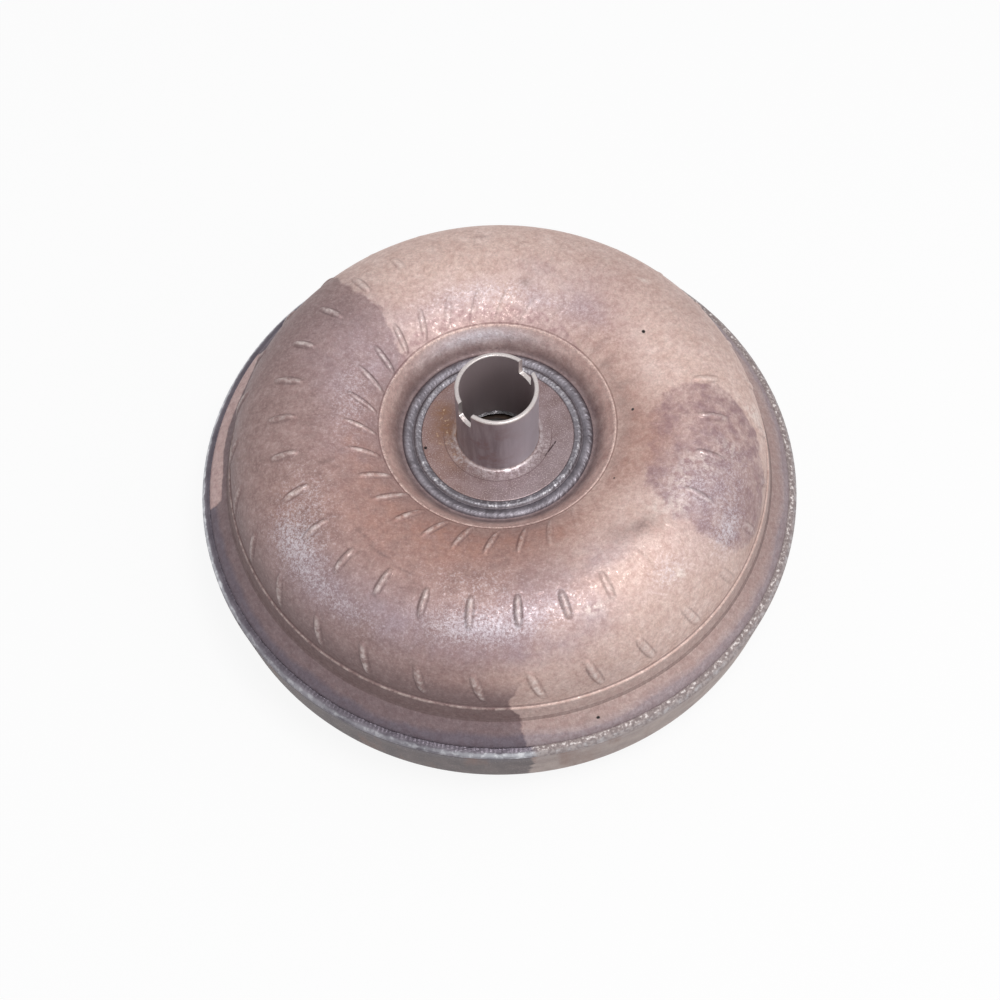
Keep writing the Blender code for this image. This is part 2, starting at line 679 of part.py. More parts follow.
def turbine_shell(material, parent):
    outside = [turbine_point(a) for a in TURBINE_ANGLES + (TURBINE_EYE_ANGLE,)]
    inside = turbine_inside(TURBINE_WALL) + [(outside[-1][0], outside[-1][1] + TURBINE_WALL)]
    return place("turbine_shell", lathe(outside + inside[::-1], INNER_COLUMNS), material, parent)


def turbine_blades(material, parent):
    facet = (TORUS_RADIUS + TURBINE_OUTER) * (1 - math.cos(math.pi / INNER_COLUMNS))
    clear = TURBINE_WALL + GAP + facet
    wall = turbine_inside(clear)
    core = core_outline(-1, TURBINE_Z, len(wall))
    leads = [math.radians(d) for d in (-3.0, -0.8, 0.0, -1.8, -5.0)]
    return bladed_ring(
        "turbine_blades", material, parent, TURBINE_BLADES, core, wall, leads, 0.0, BLADE_THICKNESS
    )


def turbine_hub(material, parent):
    bore = SHAFT_SPLINE_TIP - 1.0 * MM
    groove = TURBINE_HUB_Z + 4.6 * MM
    profile = [
        (bore, TURBINE_HUB_Z),
        (JOURNAL_RADIUS - 0.8 * MM, TURBINE_HUB_Z),
        (JOURNAL_RADIUS, TURBINE_HUB_Z + 0.8 * MM),
        (JOURNAL_RADIUS, groove),
        (JOURNAL_RADIUS - 2.0 * MM, groove),
        (JOURNAL_RADIUS - 2.0 * MM, groove + 2.4 * MM),
        (JOURNAL_RADIUS, groove + 2.4 * MM),
        (JOURNAL_RADIUS, TURBINE_FLANGE_Z),
        (TURBINE_FLANGE_RADIUS, TURBINE_FLANGE_Z),
        (TURBINE_FLANGE_RADIUS, TURBINE_FLANGE_TOP_Z),
        (RACE_RADIUS - 2.4 * MM, TURBINE_FLANGE_TOP_Z),
        (RACE_RADIUS - 2.4 * MM, TURBINE_FLANGE_TOP_Z + BEARING_THICKNESS - 0.7 * MM),
        (bore, TURBINE_FLANGE_TOP_Z + BEARING_THICKNESS - 0.7 * MM),
    ]
    hub = place("turbine_hub", lathe(profile, NARROW_COLUMNS), material, parent)
    spline = toothed(SPLINE_TEETH, SPLINE_ROOT, SPLINE_TIP)
    boolean(hub, prism(spline, COLLAR_TOP_Z + 1.5 * LOCKUP_TRAVEL, TURBINE_FLANGE_Z + 1.0 * MM), "UNION")
    bore_shape = toothed(SHAFT_SPLINE_TEETH, SHAFT_SPLINE_ROOT, SHAFT_SPLINE_TIP)
    boolean(hub, prism(bore_shape, DISH_INNER_Z, STATOR_TOP_Z))
    return hub


def turbine_weld(material, parent):
    """The bead on top of the joint between turbine shell and hub flange."""
    low = TURBINE_FLANGE_TOP_Z + GAP
    middle = (TURBINE_FLANGE_RADIUS + TURBINE_EYE) / 2
    profile = [
        (middle - 2.0 * MM, low),
        (middle + 2.0 * MM, low),
        (middle + 1.0 * MM, low + 1.3 * MM),
        (middle - 1.0 * MM, low + 1.3 * MM),
    ]
    return place("turbine_weld", lathe(profile), material, parent)


# Lock-up clutch


def damper_plate(material, parent):
    """The driven plate: a collar that slides on the turbine hub's spline, and claws between the springs."""
    collar = DAMPER_BORE_TIP + DAMPER_COLLAR
    bore = DAMPER_BORE_ROOT - 1.0 * MM
    rim = CLAW_ROOT
    profile = [
        (bore, DAMPER_Z),
        (rim, DAMPER_Z),
        (rim, DAMPER_TOP_Z),
        (collar, DAMPER_TOP_Z),
        (collar, DAMPER_Z + DAMPER_COLLAR_HEIGHT),
        (bore, DAMPER_Z + DAMPER_COLLAR_HEIGHT),
    ]
    bm = lathe(profile)
    per_claw = INNER_COLUMNS // SPRING_COUNT
    edge = [f for f in bm.faces if abs(math.hypot(*f.calc_center_median().xy) - rim) < 1.0 * MM]
    edge = [f for f in edge if len({round(v.co.z, 6) for v in f.verts}) == 2]
    edge.sort(key=lambda f: math.atan2(f.calc_center_median().y, f.calc_center_median().x) % TURN)
    lift = SPRING_Z - (DAMPER_Z + DAMPER_TOP_Z) / 2
    reach = SPRING_LINE - SPRING_RADIUS + CLAW_REACH - rim
    for face in edge[::per_claw]:
        out = face.calc_center_median().xy.normalized()
        for share, rise in ((0.45, lift), (0.55, 0.0)):
            grown = bmesh.ops.extrude_discrete_faces(bm, faces=[face])
            face = grown["faces"][0]
            step = (out.x * reach * share, out.y * reach * share, rise)
            bmesh.ops.translate(bm, verts=face.verts, vec=step)
    plate = place("damper_plate", bm, material, parent)
    bore_shape = toothed(SPLINE_TEETH, DAMPER_BORE_ROOT, DAMPER_BORE_TIP)
    boolean(plate, prism(bore_shape, DISH_FACE_Z, TORUS_Z))
    return plate


SPRING_Z = PISTON_TOP_Z + GAP + SPRING_RADIUS


def lockup_piston(material, parent):
    """The pressure plate: its collar seals on the turbine hub, its rim holds the damper springs in."""
    rim_top = PISTON_Z + PISTON_RIM_HEIGHT
    corner = 2.0 * MM
    profile = [
        (PISTON_BORE, COLLAR_Z),
        (PISTON_BORE + PISTON_COLLAR, COLLAR_Z),
        (PISTON_BORE + PISTON_COLLAR + corner, PISTON_Z),
        (RIM_OUTER - corner, PISTON_Z),
        (RIM_OUTER, PISTON_Z + corner),
        (RIM_OUTER, rim_top),
        (RIM_INNER, rim_top),
        (RIM_INNER, PISTON_TOP_Z),
        (PISTON_BORE + PISTON_COLLAR, PISTON_TOP_Z),
        (PISTON_BORE + PISTON_COLLAR, COLLAR_TOP_Z),
        (PISTON_BORE, COLLAR_TOP_Z),
    ]
    return place("lockup_piston", lathe(profile), material, parent)


def friction_lining(material, parent):
    top = LINING_Z + LINING_THICKNESS
    profile = [(LINING_INNER, LINING_Z), (LINING_OUTER, LINING_Z), (LINING_OUTER, top), (LINING_INNER, top)]
    return place("friction_lining", lathe(profile), material, parent)


def spring_retainer(material, parent):
    """A ring over the springs, with a stop between each pair that leaves the claws their way."""
    low = SPRING_Z + SPRING_RADIUS + GAP
    outer = RIM_INNER - GAP
    stop_inner = SPRING_LINE - SPRING_RADIUS + CLAW_REACH + STOP_CLEARANCE
    inner = SPRING_LINE - SPRING_RADIUS
    profile = [
        (inner, low),
        (stop_inner, low),
        (outer, low),
        (outer, low + RETAINER_THICKNESS),
        (inner, low + RETAINER_THICKNESS),
    ]
    bm = lathe(profile)
    under = [f for f in bm.faces if all(abs(v.co.z - low) < 1e-6 for v in f.verts)]
    under = [f for f in under if math.hypot(*f.calc_center_median().xy) > (stop_inner + outer) / 2 - 2 * MM]
    under.sort(key=lambda f: math.atan2(f.calc_center_median().y, f.calc_center_median().x) % TURN)
    for face in under[:: INNER_COLUMNS // SPRING_COUNT]:
        grown = bmesh.ops.extrude_discrete_faces(bm, faces=[face])
        bmesh.ops.translate(bm, verts=grown["faces"][0].verts, vec=(0, 0, -1.5 * SPRING_RADIUS))
    return place("spring_retainer", bm, material, parent)


def damper_springs(material, parent):
    """Arc springs, each as one closed ribbed body whose ribs are the coils."""
    slot = TURN / SPRING_COUNT
    first = math.pi / INNER_COLUMNS + slot / 2
    stop_inner = SPRING_LINE - SPRING_RADIUS + CLAW_REACH + STOP_CLEARANCE
    length = slot - TURN / INNER_COLUMNS - 2 * GAP / stop_inner
    sides = 8
    for number in range(SPRING_COUNT):
        bm = bmesh.new()
        rings = []
        for step in range(2 * SPRING_TURNS + 1):
            around = first + number * slot - length / 2 + length * step / (2 * SPRING_TURNS)
            radius = SPRING_RADIUS if step % 2 else 0.78 * SPRING_RADIUS
            ring = []
            for side in range(sides):
                turn = side * TURN / sides
                r = SPRING_LINE + radius * math.cos(turn)
                z = SPRING_Z + radius * math.sin(turn)
                ring.append(bm.verts.new((r * math.cos(around), r * math.sin(around), z)))
            rings.append(ring)
        for low, high in zip(rings, rings[1:]):
            for i in range(sides):
                j = (i + 1) % sides
                bm.faces.new((low[i], low[j], high[j], high[i]))
        bm.faces.new(rings[0])
        bm.faces.new(rings[-1])
        place(f"damper_spring_{number + 1}", bm, material, parent)


def piston_seal(material, parent):
    groove = TURBINE_HUB_Z + 4.6 * MM + GAP
    inner = JOURNAL_RADIUS - 2.0 * MM + GAP
    outer = JOURNAL_RADIUS
    high = groove + 2.4 * MM - 2 * GAP
    profile = [(inner, groove), (outer, groove), (outer, high), (inner, high)]
    return place("piston_seal", lathe(profile, NARROW_COLUMNS), material, parent)


# Stator and one-way clutch


def stator_wheel(material, parent):
    """The cast wheel: blades between a thick hub and a thin outer ring, and a wall that traps the clutch."""
    bm = bmesh.new()
    middle = (STATOR_Z + STATOR_TOP_Z) / 2
    low, high = middle - STATOR_BLADE_HEIGHT / 2, middle + STATOR_BLADE_HEIGHT / 2
    ring_outer = TORUS_RADIUS - CORE_OUTER * CORE_STRETCH - STATOR_RING_GAP
    ring_inner = ring_outer - STATOR_RING_WALL
    heights = [low, low + 0.22 * (high - low), low + 0.6 * (high - low), high]
    camber = [math.radians(d) for d in (0.0, 5.0, 4.0, -5.0)]
    half = [1.0 * MM, 2.6 * MM, 2.0 * MM, 0.6 * MM]

    def ring(radius, row, z=None):
        made = []
        level = heights[row] if z is None else z
        for blade in range(STATOR_BLADES):
            at = blade * TURN / STATOR_BLADES + camber[row]
            spread = math.asin(half[row] / radius)
            for a in (at - spread, at + spread):
                made.append(bm.verts.new((radius * math.cos(a), radius * math.sin(a), level)))
        return made

    hub = [ring(STATOR_HUB, row) for row in range(4)]
    shroud = [ring(ring_inner, row) for row in range(4)]
    hub_foot, hub_head = ring(STATOR_HUB, 0, STATOR_Z), ring(STATOR_HUB, 3, STATOR_TOP_Z)
    bore_foot, bore_head = ring(WALL_BORE, 0, STATOR_Z), ring(WALL_BORE, 3, STATOR_TOP_Z)
    skin_foot, skin_head = ring(ring_outer, 0), ring(ring_outer, 3)
    around = 2 * STATOR_BLADES
    for i in range(around):
        j = (i + 1) % around
        for row in range(3):
            if i % 2 == 0:
                bm.faces.new((hub[row][i], shroud[row][i], shroud[row + 1][i], hub[row + 1][i]))
                bm.faces.new((hub[row][j], shroud[row][j], shroud[row + 1][j], hub[row + 1][j]))
            else:
                bm.faces.new((hub[row][i], hub[row][j], hub[row + 1][j], hub[row + 1][i]))
                bm.faces.new((shroud[row][i], shroud[row][j], shroud[row + 1][j], shroud[row + 1][i]))
        if i % 2 == 0:
            for row in (0, 3):
                bm.faces.new((hub[row][i], hub[row][j], shroud[row][j], shroud[row][i]))
        for a, b in (
            (hub_foot, hub[0]),
            (hub[3], hub_head),
            (hub_head, bore_head),
            (bore_head, bore_foot),
            (bore_foot, hub_foot),
            (shroud[0], skin_foot),
            (skin_foot, skin_head),
            (skin_head, shroud[3]),
        ):
            bm.faces.new((a[i], a[j], b[j], b[i]))
    wheel = place("stator_wheel", bm, material, parent)
    seat = smooth_keys(toothed(CAM_KEYS, STATOR_BORE, STATOR_BORE + CAM_KEY), STATOR_BORE)
    boolean(wheel, prism(seat, STATOR_Z + STATOR_FRONT_WALL, STATOR_TOP_Z + STATOR_FRONT_WALL))
    groove = ring_outline(STATOR_BORE + SNAP_RING_BITE + GAP, INNER_COLUMNS)
    boolean(wheel, prism(groove, SNAP_RING_Z - GAP, SNAP_RING_Z + SNAP_RING_THICKNESS + GAP))
    return wheel


def smooth_keys(outline, radius):
    """Adds points on the round stretches between the keys, so that they stay round."""
    made = []
    count = len(outline)
    for i, (x, y) in enumerate(outline):
        made.append((x, y))
        if i % 4 == 3:
            nx, ny = outline[(i + 1) % count]
            start, end = math.atan2(y, x), math.atan2(ny, nx)
            span = (end - start) % TURN
            for share in (0.25, 0.5, 0.75):
                a = start + span * share
                made.append((radius * math.cos(a), radius * math.sin(a)))
    return made


def clutch_cam(material, parent):
    """The outer race: a ramp for each roller, and keys that hold it in the stator."""
    outer = smooth_keys(toothed(CAM_KEYS, CAM_OUTER, CAM_OUTER + CAM_KEY - GAP), CAM_OUTER)
    cam = place("clutch_cam", prism(outer, CLUTCH_Z, CLUTCH_TOP_Z), material, parent)
    inner = []
    for number in range(ROLLERS):
        for share, radius in (
            (-0.26, CAM_LAND),
            (-0.24, CAM_POCKET),
            (-0.08, CAM_POCKET + 0.3 * MM),
            (0.10, CAM_POCKET + 0.9 * MM),
            (0.26, CAM_POCKET + 0.9 * MM),
            (0.28, CAM_LAND),
            (0.51, CAM_LAND),
        ):
            a = (number + share) * TURN / ROLLERS
            inner.append((radius * math.cos(a), radius * math.sin(a)))
    boolean(cam, prism(inner, CLUTCH_Z - MM, CLUTCH_TOP_Z + MM))
    return cam


def clutch_rollers(steel, spring_steel, parent):
    """Rollers in their pockets, each with a folded spring that keeps it against its ramp."""
    low, high = CLUTCH_Z + GAP, CLUTCH_TOP_Z - GAP
    for number in range(ROLLERS):
        at = number * TURN / ROLLERS
        x, y = ROLLER_LINE * math.cos(at), ROLLER_LINE * math.sin(at)
        circle = [(x + px, y + py) for px, py in ring_outline(ROLLER_RADIUS, 10)]
        place(f"clutch_roller_{number + 1}", prism(circle, low, high), steel, parent)
        gap_angle = ROLLER_RADIUS / ROLLER_LINE
        first, last = at + gap_angle + GAP / ROLLER_LINE, at + 0.26 * TURN / ROLLERS - GAP / ROLLER_LINE
        folds = 3
        outline = []
        for side, thickness in ((0, -0.35 * MM), (1, 0.35 * MM)):
            points = []
            for fold in range(folds + 1):
                a = first + (last - first) * fold / folds
                r = ROLLER_LINE + (1.3 * MM if fold % 2 else -1.3 * MM) + thickness
                points.append((r * math.cos(a), r * math.sin(a)))
            outline += points if side == 0 else points[::-1]
        strip = prism(outline, low + 3 * MM, high - 3 * MM)
        place(f"roller_spring_{number + 1}", strip, spring_steel, parent)


def clutch_plate(material, parent):
    """The washer that closes the clutch on the gearbox side."""
    top = PLATE_Z + PLATE_THICKNESS
    outer = STATOR_BORE - GAP
    profile = [(WALL_BORE, PLATE_Z), (outer, PLATE_Z), (outer, top), (WALL_BORE, top)]
    return place("clutch_plate", lathe(profile, NARROW_COLUMNS), material, parent)


def snap_ring(material, parent):
    """An open ring that keeps the washer in."""
    top = SNAP_RING_Z + SNAP_RING_THICKNESS
    outer = STATOR_BORE + SNAP_RING_BITE
    inner = outer - 3.4 * MM
    profile = [(inner, SNAP_RING_Z), (outer, SNAP_RING_Z), (outer, top), (inner, top)]
    opening = math.radians(16)
    return place("snap_ring", lathe(profile, NARROW_COLUMNS, opening / 2, TURN - opening), material, parent)


def stator_race(material, parent):
    """The inner race, which the gearbox's fixed tube holds by its spline."""
    bore = RACE_SPLINE_TIP - 1.0 * MM
    chamfer = 0.6 * MM
    profile = [
        (bore, CLUTCH_Z),
        (RACE_RADIUS - chamfer, CLUTCH_Z),
        (RACE_RADIUS, CLUTCH_Z + chamfer),
        (RACE_RADIUS, CLUTCH_TOP_Z - chamfer),
        (RACE_RADIUS - chamfer, CLUTCH_TOP_Z),
        (bore, CLUTCH_TOP_Z),
    ]
    race = place("stator_race", lathe(profile, NARROW_COLUMNS), material, parent)
    bore_shape = toothed(RACE_SPLINE_TEETH, RACE_SPLINE_ROOT, RACE_SPLINE_TIP)
    boolean(race, prism(bore_shape, CLUTCH_Z - MM, CLUTCH_TOP_Z + MM))
    return race


# Bearings


def thrust_bearing(name, low, material, parent):
    """A needle bearing: two lipped washers with the cage between them."""
    inner = RACE_RADIUS - 2.1 * MM
    outer = inner + BEARING_WIDTH
    plate = 0.9 * MM
    high = low + BEARING_THICKNESS
    waist = 0.8 * MM
    profile = [
        (inner, low),
        (outer, low),
        (outer, low + plate),
        (outer - waist, low + plate),
        (outer - waist, high - plate),
        (outer, high - plate),
        (outer, high),
        (inner, high),
    ]
    return place(name, lathe(profile, NARROW_COLUMNS), material, parent)


def cover_washer(material, parent):
    high = WASHER_Z + WASHER_THICKNESS
    outer = JOURNAL_RADIUS - 2.0 * MM
    profile = [(WASHER_BORE, WASHER_Z), (outer, WASHER_Z), (outer, high), (WASHER_BORE, high)]
    return place("cover_washer", lathe(profile, NARROW_COLUMNS), material, parent)


def main():
    clear_scene()
    baked_steel = finish("baked_steel", 0.36, 0.26, 0.25, 0.5)
    cover_steel = finish("cover_steel", 0.22, 0.19, 0.19, 0.5)
    weld_steel = finish("weld_steel", 0.42, 0.42, 0.43, 0.4)
    hub_steel = finish("hub_steel", 0.36, 0.34, 0.35, 0.35)
    pressed_steel = finish("pressed_steel", 0.45, 0.45, 0.46, 0.4)
    bearing_steel = finish("bearing_steel", 0.6, 0.6, 0.62, 0.22)
    spring_steel = finish("spring_steel", 0.18, 0.18, 0.2, 0.35)
    cast_aluminium = finish("cast_aluminium", 0.6, 0.6, 0.6, 0.5)
    lining_paper = finish("lining_paper", 0.16, 0.1, 0.06, 0.9, 0.0)
    seal_polymer = finish("seal_polymer", 0.03, 0.03, 0.03, 0.6, 0.0)
    phenolic = finish("phenolic", 0.2, 0.12, 0.05, 0.6, 0.0)

    front_cover(cover_steel)
    pilot_boss(hub_steel)
    drive_lugs(hub_steel)
    impeller_shell(baked_steel)
    impeller_blades(pressed_steel)
    closing_weld(weld_steel)
    impeller_hub(hub_steel)
    hub_weld(weld_steel)
    cover_washer(phenolic, None)
    thrust_bearing("impeller_bearing", IMPELLER_BEARING_Z, bearing_steel, None)

    turbine = axle("turbine_axle")
    turbine_shell(pressed_steel, turbine)
    turbine_blades(pressed_steel, turbine)
    turbine_hub(hub_steel, turbine)
    turbine_weld(weld_steel, turbine)
    piston_seal(seal_polymer, turbine)
    thrust_bearing("turbine_bearing", TURBINE_BEARING_Z, bearing_steel, turbine)

    damper = axle("damper_axle")
    damper_plate(pressed_steel, damper)
    piston = axle("piston_axle")
    lockup_piston(pressed_steel, piston)
    friction_lining(lining_paper, piston)
    spring_retainer(pressed_steel, piston)
    damper_springs(spring_steel, piston)

    stator = axle("stator_axle")
    stator_wheel(cast_aluminium, stator)
    clutch_cam(bearing_steel, stator)
    clutch_rollers(bearing_steel, spring_steel, stator)
    clutch_plate(phenolic, stator)
    snap_ring(spring_steel, stator)
    race = axle("race_axle")
    stator_race(bearing_steel, race)


main()
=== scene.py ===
import math

import bmesh
import bpy
import numpy as np
from mathutils import Matrix, Vector


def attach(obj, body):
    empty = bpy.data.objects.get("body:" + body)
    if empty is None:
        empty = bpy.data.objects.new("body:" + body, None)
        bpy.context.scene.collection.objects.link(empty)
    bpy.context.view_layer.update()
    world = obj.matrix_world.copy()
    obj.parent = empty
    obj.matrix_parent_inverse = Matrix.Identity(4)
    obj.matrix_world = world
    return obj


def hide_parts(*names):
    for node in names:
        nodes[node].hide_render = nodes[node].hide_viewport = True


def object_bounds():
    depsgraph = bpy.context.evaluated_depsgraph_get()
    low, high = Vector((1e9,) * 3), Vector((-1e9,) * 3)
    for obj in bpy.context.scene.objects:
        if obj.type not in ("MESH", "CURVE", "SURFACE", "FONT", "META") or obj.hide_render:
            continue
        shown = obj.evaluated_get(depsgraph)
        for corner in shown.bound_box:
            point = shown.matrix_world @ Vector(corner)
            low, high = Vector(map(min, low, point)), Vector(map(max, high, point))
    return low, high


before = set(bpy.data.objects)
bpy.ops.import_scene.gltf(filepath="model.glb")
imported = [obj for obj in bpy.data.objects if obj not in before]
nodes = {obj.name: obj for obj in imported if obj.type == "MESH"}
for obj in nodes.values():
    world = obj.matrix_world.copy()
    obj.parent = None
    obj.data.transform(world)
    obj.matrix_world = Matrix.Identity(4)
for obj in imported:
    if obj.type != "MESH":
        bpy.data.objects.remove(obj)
cad_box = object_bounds()

MM = 0.001
TURN = 2 * math.pi


# The studio. A pale floor that keeps a faint shadow, a white surround, a soft lamp overhead, a weaker
# one at the right, and the camera where the photographer stood.

scene = bpy.context.scene
scene.view_settings.view_transform = "Standard"


def link(tree, source, target):
    tree.links.new(source, target)


def add(tree, kind, inputs=(), **settings):
    """A node with its settings, and its inputs set to values or joined to other nodes' outputs."""
    node = tree.nodes.new("ShaderNode" + kind)
    for key, value in settings.items():
        setattr(node, key, value)
    for key, value in dict(inputs).items():
        if isinstance(value, bpy.types.NodeSocket):
            link(tree, value, node.inputs[key])
        else:
            node.inputs[key].default_value = value
    return node


def maths(tree, operation, *values):
    return add(tree, "Math", enumerate(values), operation=operation).outputs[0]


def white_rays(tree):
    """1 for the rays that should find a white surround: the camera's, and those a shiny surface sends."""
    path = add(tree, "LightPath").outputs
    most = path["Is Camera Ray"]
    for ray in ("Is Glossy Ray", "Is Transmission Ray"):
        most = maths(tree, "MAXIMUM", most, path[ray])
    return most


world = bpy.data.worlds.new("surround")
scene.world = world
world.use_nodes = True
tree = world.node_tree
tree.nodes.clear()
soft = add(tree, "Background", {"Color": (0.97, 0.98, 1.0, 1), "Strength": 0.5})
white = add(tree, "Background", {"Color": (1, 1, 1, 1), "Strength": 1.0})
mixed = add(tree, "MixShader", {0: white_rays(tree), 1: soft.outputs[0], 2: white.outputs[0]})
add(tree, "OutputWorld", {0: mixed.outputs[0]})

floor_paint = bpy.data.materials.new("pale_floor")
floor_paint.use_nodes = True
tree = floor_paint.node_tree
tree.nodes.clear()
keys = {"Base Color": (0.86, 0.86, 0.86, 1), "Roughness": 0.9, "Specular IOR Level": 0.1}
matt = add(tree, "BsdfPrincipled", keys)
glow = add(tree, "Emission", {"Strength": 1.0})
share = maths(tree, "MULTIPLY", white_rays(tree), 0.9)
mixed = add(tree, "MixShader", {0: share, 1: matt.outputs[0], 2: glow.outputs[0]})
add(tree, "OutputMaterial", {0: mixed.outputs[0]})
floor_mesh = bpy.data.meshes.new("floor")
reach = 6.0
corners = [(-reach, -reach, 0), (reach, -reach, 0), (reach, reach, 0), (-reach, reach, 0)]
floor_mesh.from_pydata(corners, [], [(0, 1, 2, 3)])
floor_mesh.materials.append(floor_paint)
floor = bpy.data.objects.new("floor", floor_mesh)
floor.location.z = cad_box[0][2] - 0.0005
scene.collection.objects.link(floor)


def soft_lamp(name, place, size, watts, colour=(1, 1, 1)):
    """A square soft box that points at the converter."""
    lamp = bpy.data.lights.new(name, "AREA")
    lamp.shape = "SQUARE"
    lamp.size = size
    lamp.energy = watts
    lamp.color = colour
    stand = bpy.data.objects.new(name, lamp)
    stand.location = place
    stand.rotation_euler = (Vector((0, 0, 0.07)) - Vector(place)).to_track_quat("-Z", "Y").to_euler()
    scene.collection.objects.link(stand)


soft_lamp("overhead", (0.24, -0.27, 1.42), 0.42, 9.4)
soft_lamp("right_fill", (1.0, -0.75, 0.95), 0.5, 2.1, (1.0, 0.98, 0.95))

lens = bpy.data.cameras.new("photographer")
lens.sensor_width = 36.0
lens.lens = 61.2
lens.clip_start = 0.01
camera = bpy.data.objects.new("photographer", lens)
right = Vector((0.99965729, -0.02324654, -0.0120378))
up = Vector((0.02617701, 0.88285672, 0.46891233))
forward = Vector((0.00027293, 0.46906674, -0.88316268))
turned = Matrix((right, up, -forward)).transposed().to_4x4()
camera.matrix_world = Matrix.Translation((0, -0.442495, 0.860817)) @ turned
scene.collection.objects.link(camera)
scene.camera = camera


# Impeller shell. A dome of 3 mm steel, pressed in one piece, with a sunk middle, a coined step and a
# skirt. Each of its 30 blades has three tabs that sit in pockets, which show outside as raised ribs.
# Brazing in a furnace left it copper-brown, with sharp-edged tide marks where flux and oil ran.

TORUS_RADIUS = 96.0
TORUS_Z = 74.6
DOME_OUTER, DOME_INNER, DOME_HEIGHT = 45.4, 59.7, 46.4
GROOVE_ANGLE = 126.72
BLADES = 30
BLADE_START = -2.12
SHELL_COLUMNS = 1080
# each row of ribs: the dome angles of its ends, half a rib's width, its height, and how many degrees to
# each side of RIGHT_SIDE its ribs lie shallower, by which share
RIB_ROWS = (
    (125.2, 107.5, 1.8, 1.15, 72, 0.88), (83.0, 62.5, 2.0, 1.35, 60, 0.88), (34.2, 9.5, 2.5, 1.15, 50, 0.4),
)  # fmt: skip
MIDDLE_ROW = RIB_ROWS[1]
RIGHT_SIDE, BACK = -8, 84
LEAST_PRESSED = 0.12


def dome(angle):
    """A point on the outside of the dome, and how many degrees the blades run ahead there."""
    a = math.radians(angle)
    reach = DOME_OUTER if angle <= 90 else DOME_INNER
    if angle >= 72.5:
        lead = 4.3 * ((angle - 72.5) / 42.9) ** 3
    else:
        lead = 2.57 * ((72.5 - angle) / 49.4) ** 2
    return TORUS_RADIUS + reach * math.cos(a), TORUS_Z + DOME_HEIGHT * math.sin(a), lead


def filleted(corners, steps=4):
    """An outline of (radius, height, fillet) corners with its fillets drawn in."""
    path = []
    for i, (r, z, fillet) in enumerate(corners):
        here = np.array((r, z))
        if fillet <= 0 or i in (0, len(corners) - 1):
            path.append((r, z))
            continue
        back = np.array(corners[i - 1][:2]) - here
        ahead = np.array(corners[i + 1][:2]) - here
        cut = min(fillet, 0.48 * np.linalg.norm(back), 0.48 * np.linalg.norm(ahead))
        start = here + back / np.linalg.norm(back) * cut
        end = here + ahead / np.linalg.norm(ahead) * cut
        for t in np.linspace(0, 1, steps + 1):
            path.append(tuple((1 - t) ** 2 * start + 2 * t * (1 - t) * here + t * t * end))
    return path


def stepped(path, longest):
    """Adds points so that no stretch of an outline is longer than this."""
    made = [path[0]]
    for a, b in zip(path, path[1:]):
        count = max(1, math.ceil(math.hypot(b[0] - a[0], b[1] - a[1]) / longest))
        for i in range(1, count + 1):
            made.append((a[0] + (b[0] - a[0]) * i / count, a[1] + (b[1] - a[1]) * i / count))
    return made


def grid_mesh(name, points):
    """A mesh from an array of points [row, column, xyz] in millimetres that goes right round the axis."""
    rows, columns = points.shape[:2]
    mesh = bpy.data.meshes.new(name)
    index = np.arange(rows * columns).reshape(rows, columns)
    beside = np.roll(index, -1, axis=1)
    above, corner = np.roll(index, -1, axis=0), np.roll(beside, -1, axis=0)
    faces = np.stack([index, beside, corner, above], axis=-1).reshape(-1, 4)
    mesh.vertices.add(rows * columns)
    mesh.vertices.foreach_set("co", (points.reshape(-1, 3) * MM).astype(np.float32).ravel())
    mesh.loops.add(faces.size)
    mesh.loops.foreach_set("vertex_index", faces.astype(np.int32).ravel())
    mesh.polygons.add(len(faces))
    mesh.polygons.foreach_set("loop_start", np.arange(0, faces.size, 4, dtype=np.int32))
    mesh.update(calc_edges=True)
    mesh.validate()
    return mesh


def show(name, mesh, body, replaced, material, sharp=40):
    """Makes a piece of a mesh, smooth but for its true corners, and sets it in the frame."""
    mesh.shade_smooth()
    if sharp < 180:
        mesh.set_sharp_from_angle(angle=math.radians(sharp))
    mesh.materials.append(material)
    piece = bpy.data.objects.new(name, mesh)
    scene.collection.objects.link(piece)
    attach(piece, body)
    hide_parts(*replaced)


def facing_out(mesh):
    """Turns the faces round where the mesh's volume comes out negative."""
    bm = bmesh.new()
    bm.from_mesh(mesh)
    if bm.calc_volume(signed=True) < 0:
        bmesh.ops.reverse_faces(bm, faces=bm.faces)
        bm.to_mesh(mesh)
    bm.free()


groove = [
    (49.35, 97.0), (49.35, 100.2), (49.9, 100.1), (50.6, 100.3), (51.4, 100.9), (52.3, 102.1),
    (53.3, 103.7),
    (54.6, 105.6), (56.3, 107.8), (58.0, 109.8), (59.1, 111.1), (59.7, 111.75), (60.0, 112.0),
    (60.3, 112.12),
]  # fmt: skip
dome_angles = np.arange(GROOVE_ANGLE - 0.4, 3.6, -0.62)
crest = [dome(a) for a in dome_angles]
step = [
    (crest[-1][0], crest[-1][1], 0), (141.5, 77.5, 0.5), (142.6, 77.1, 0.6), (144.3, 68.9, 0.8),
    (145.4, 67.5, 1.2),
    (150.6, 63.6, 3.0), (154.6, 60.4, 1.6), (155.8, 58.2, 1.0), (155.8, 47.2, 0),
]  # fmt: skip
outside = stepped(groove, 0.8) + [(r, z) for r, z, _ in crest] + stepped(filleted(step, 5), 0.9)[1:]
outside = np.array(outside)
first_dome = len(stepped(groove, 0.8))
leads = np.zeros(len(outside))
leads[first_dome : first_dome + len(crest)] = [lead for _, _, lead in crest]
run = np.concatenate([[0], np.cumsum(np.hypot(*np.diff(outside, axis=0).T))])
run -= run[first_dome]
THICKNESS = 3.0
inside = [(152.8, 47.2), (152.8, 57.4), (144.6, 64.6)]
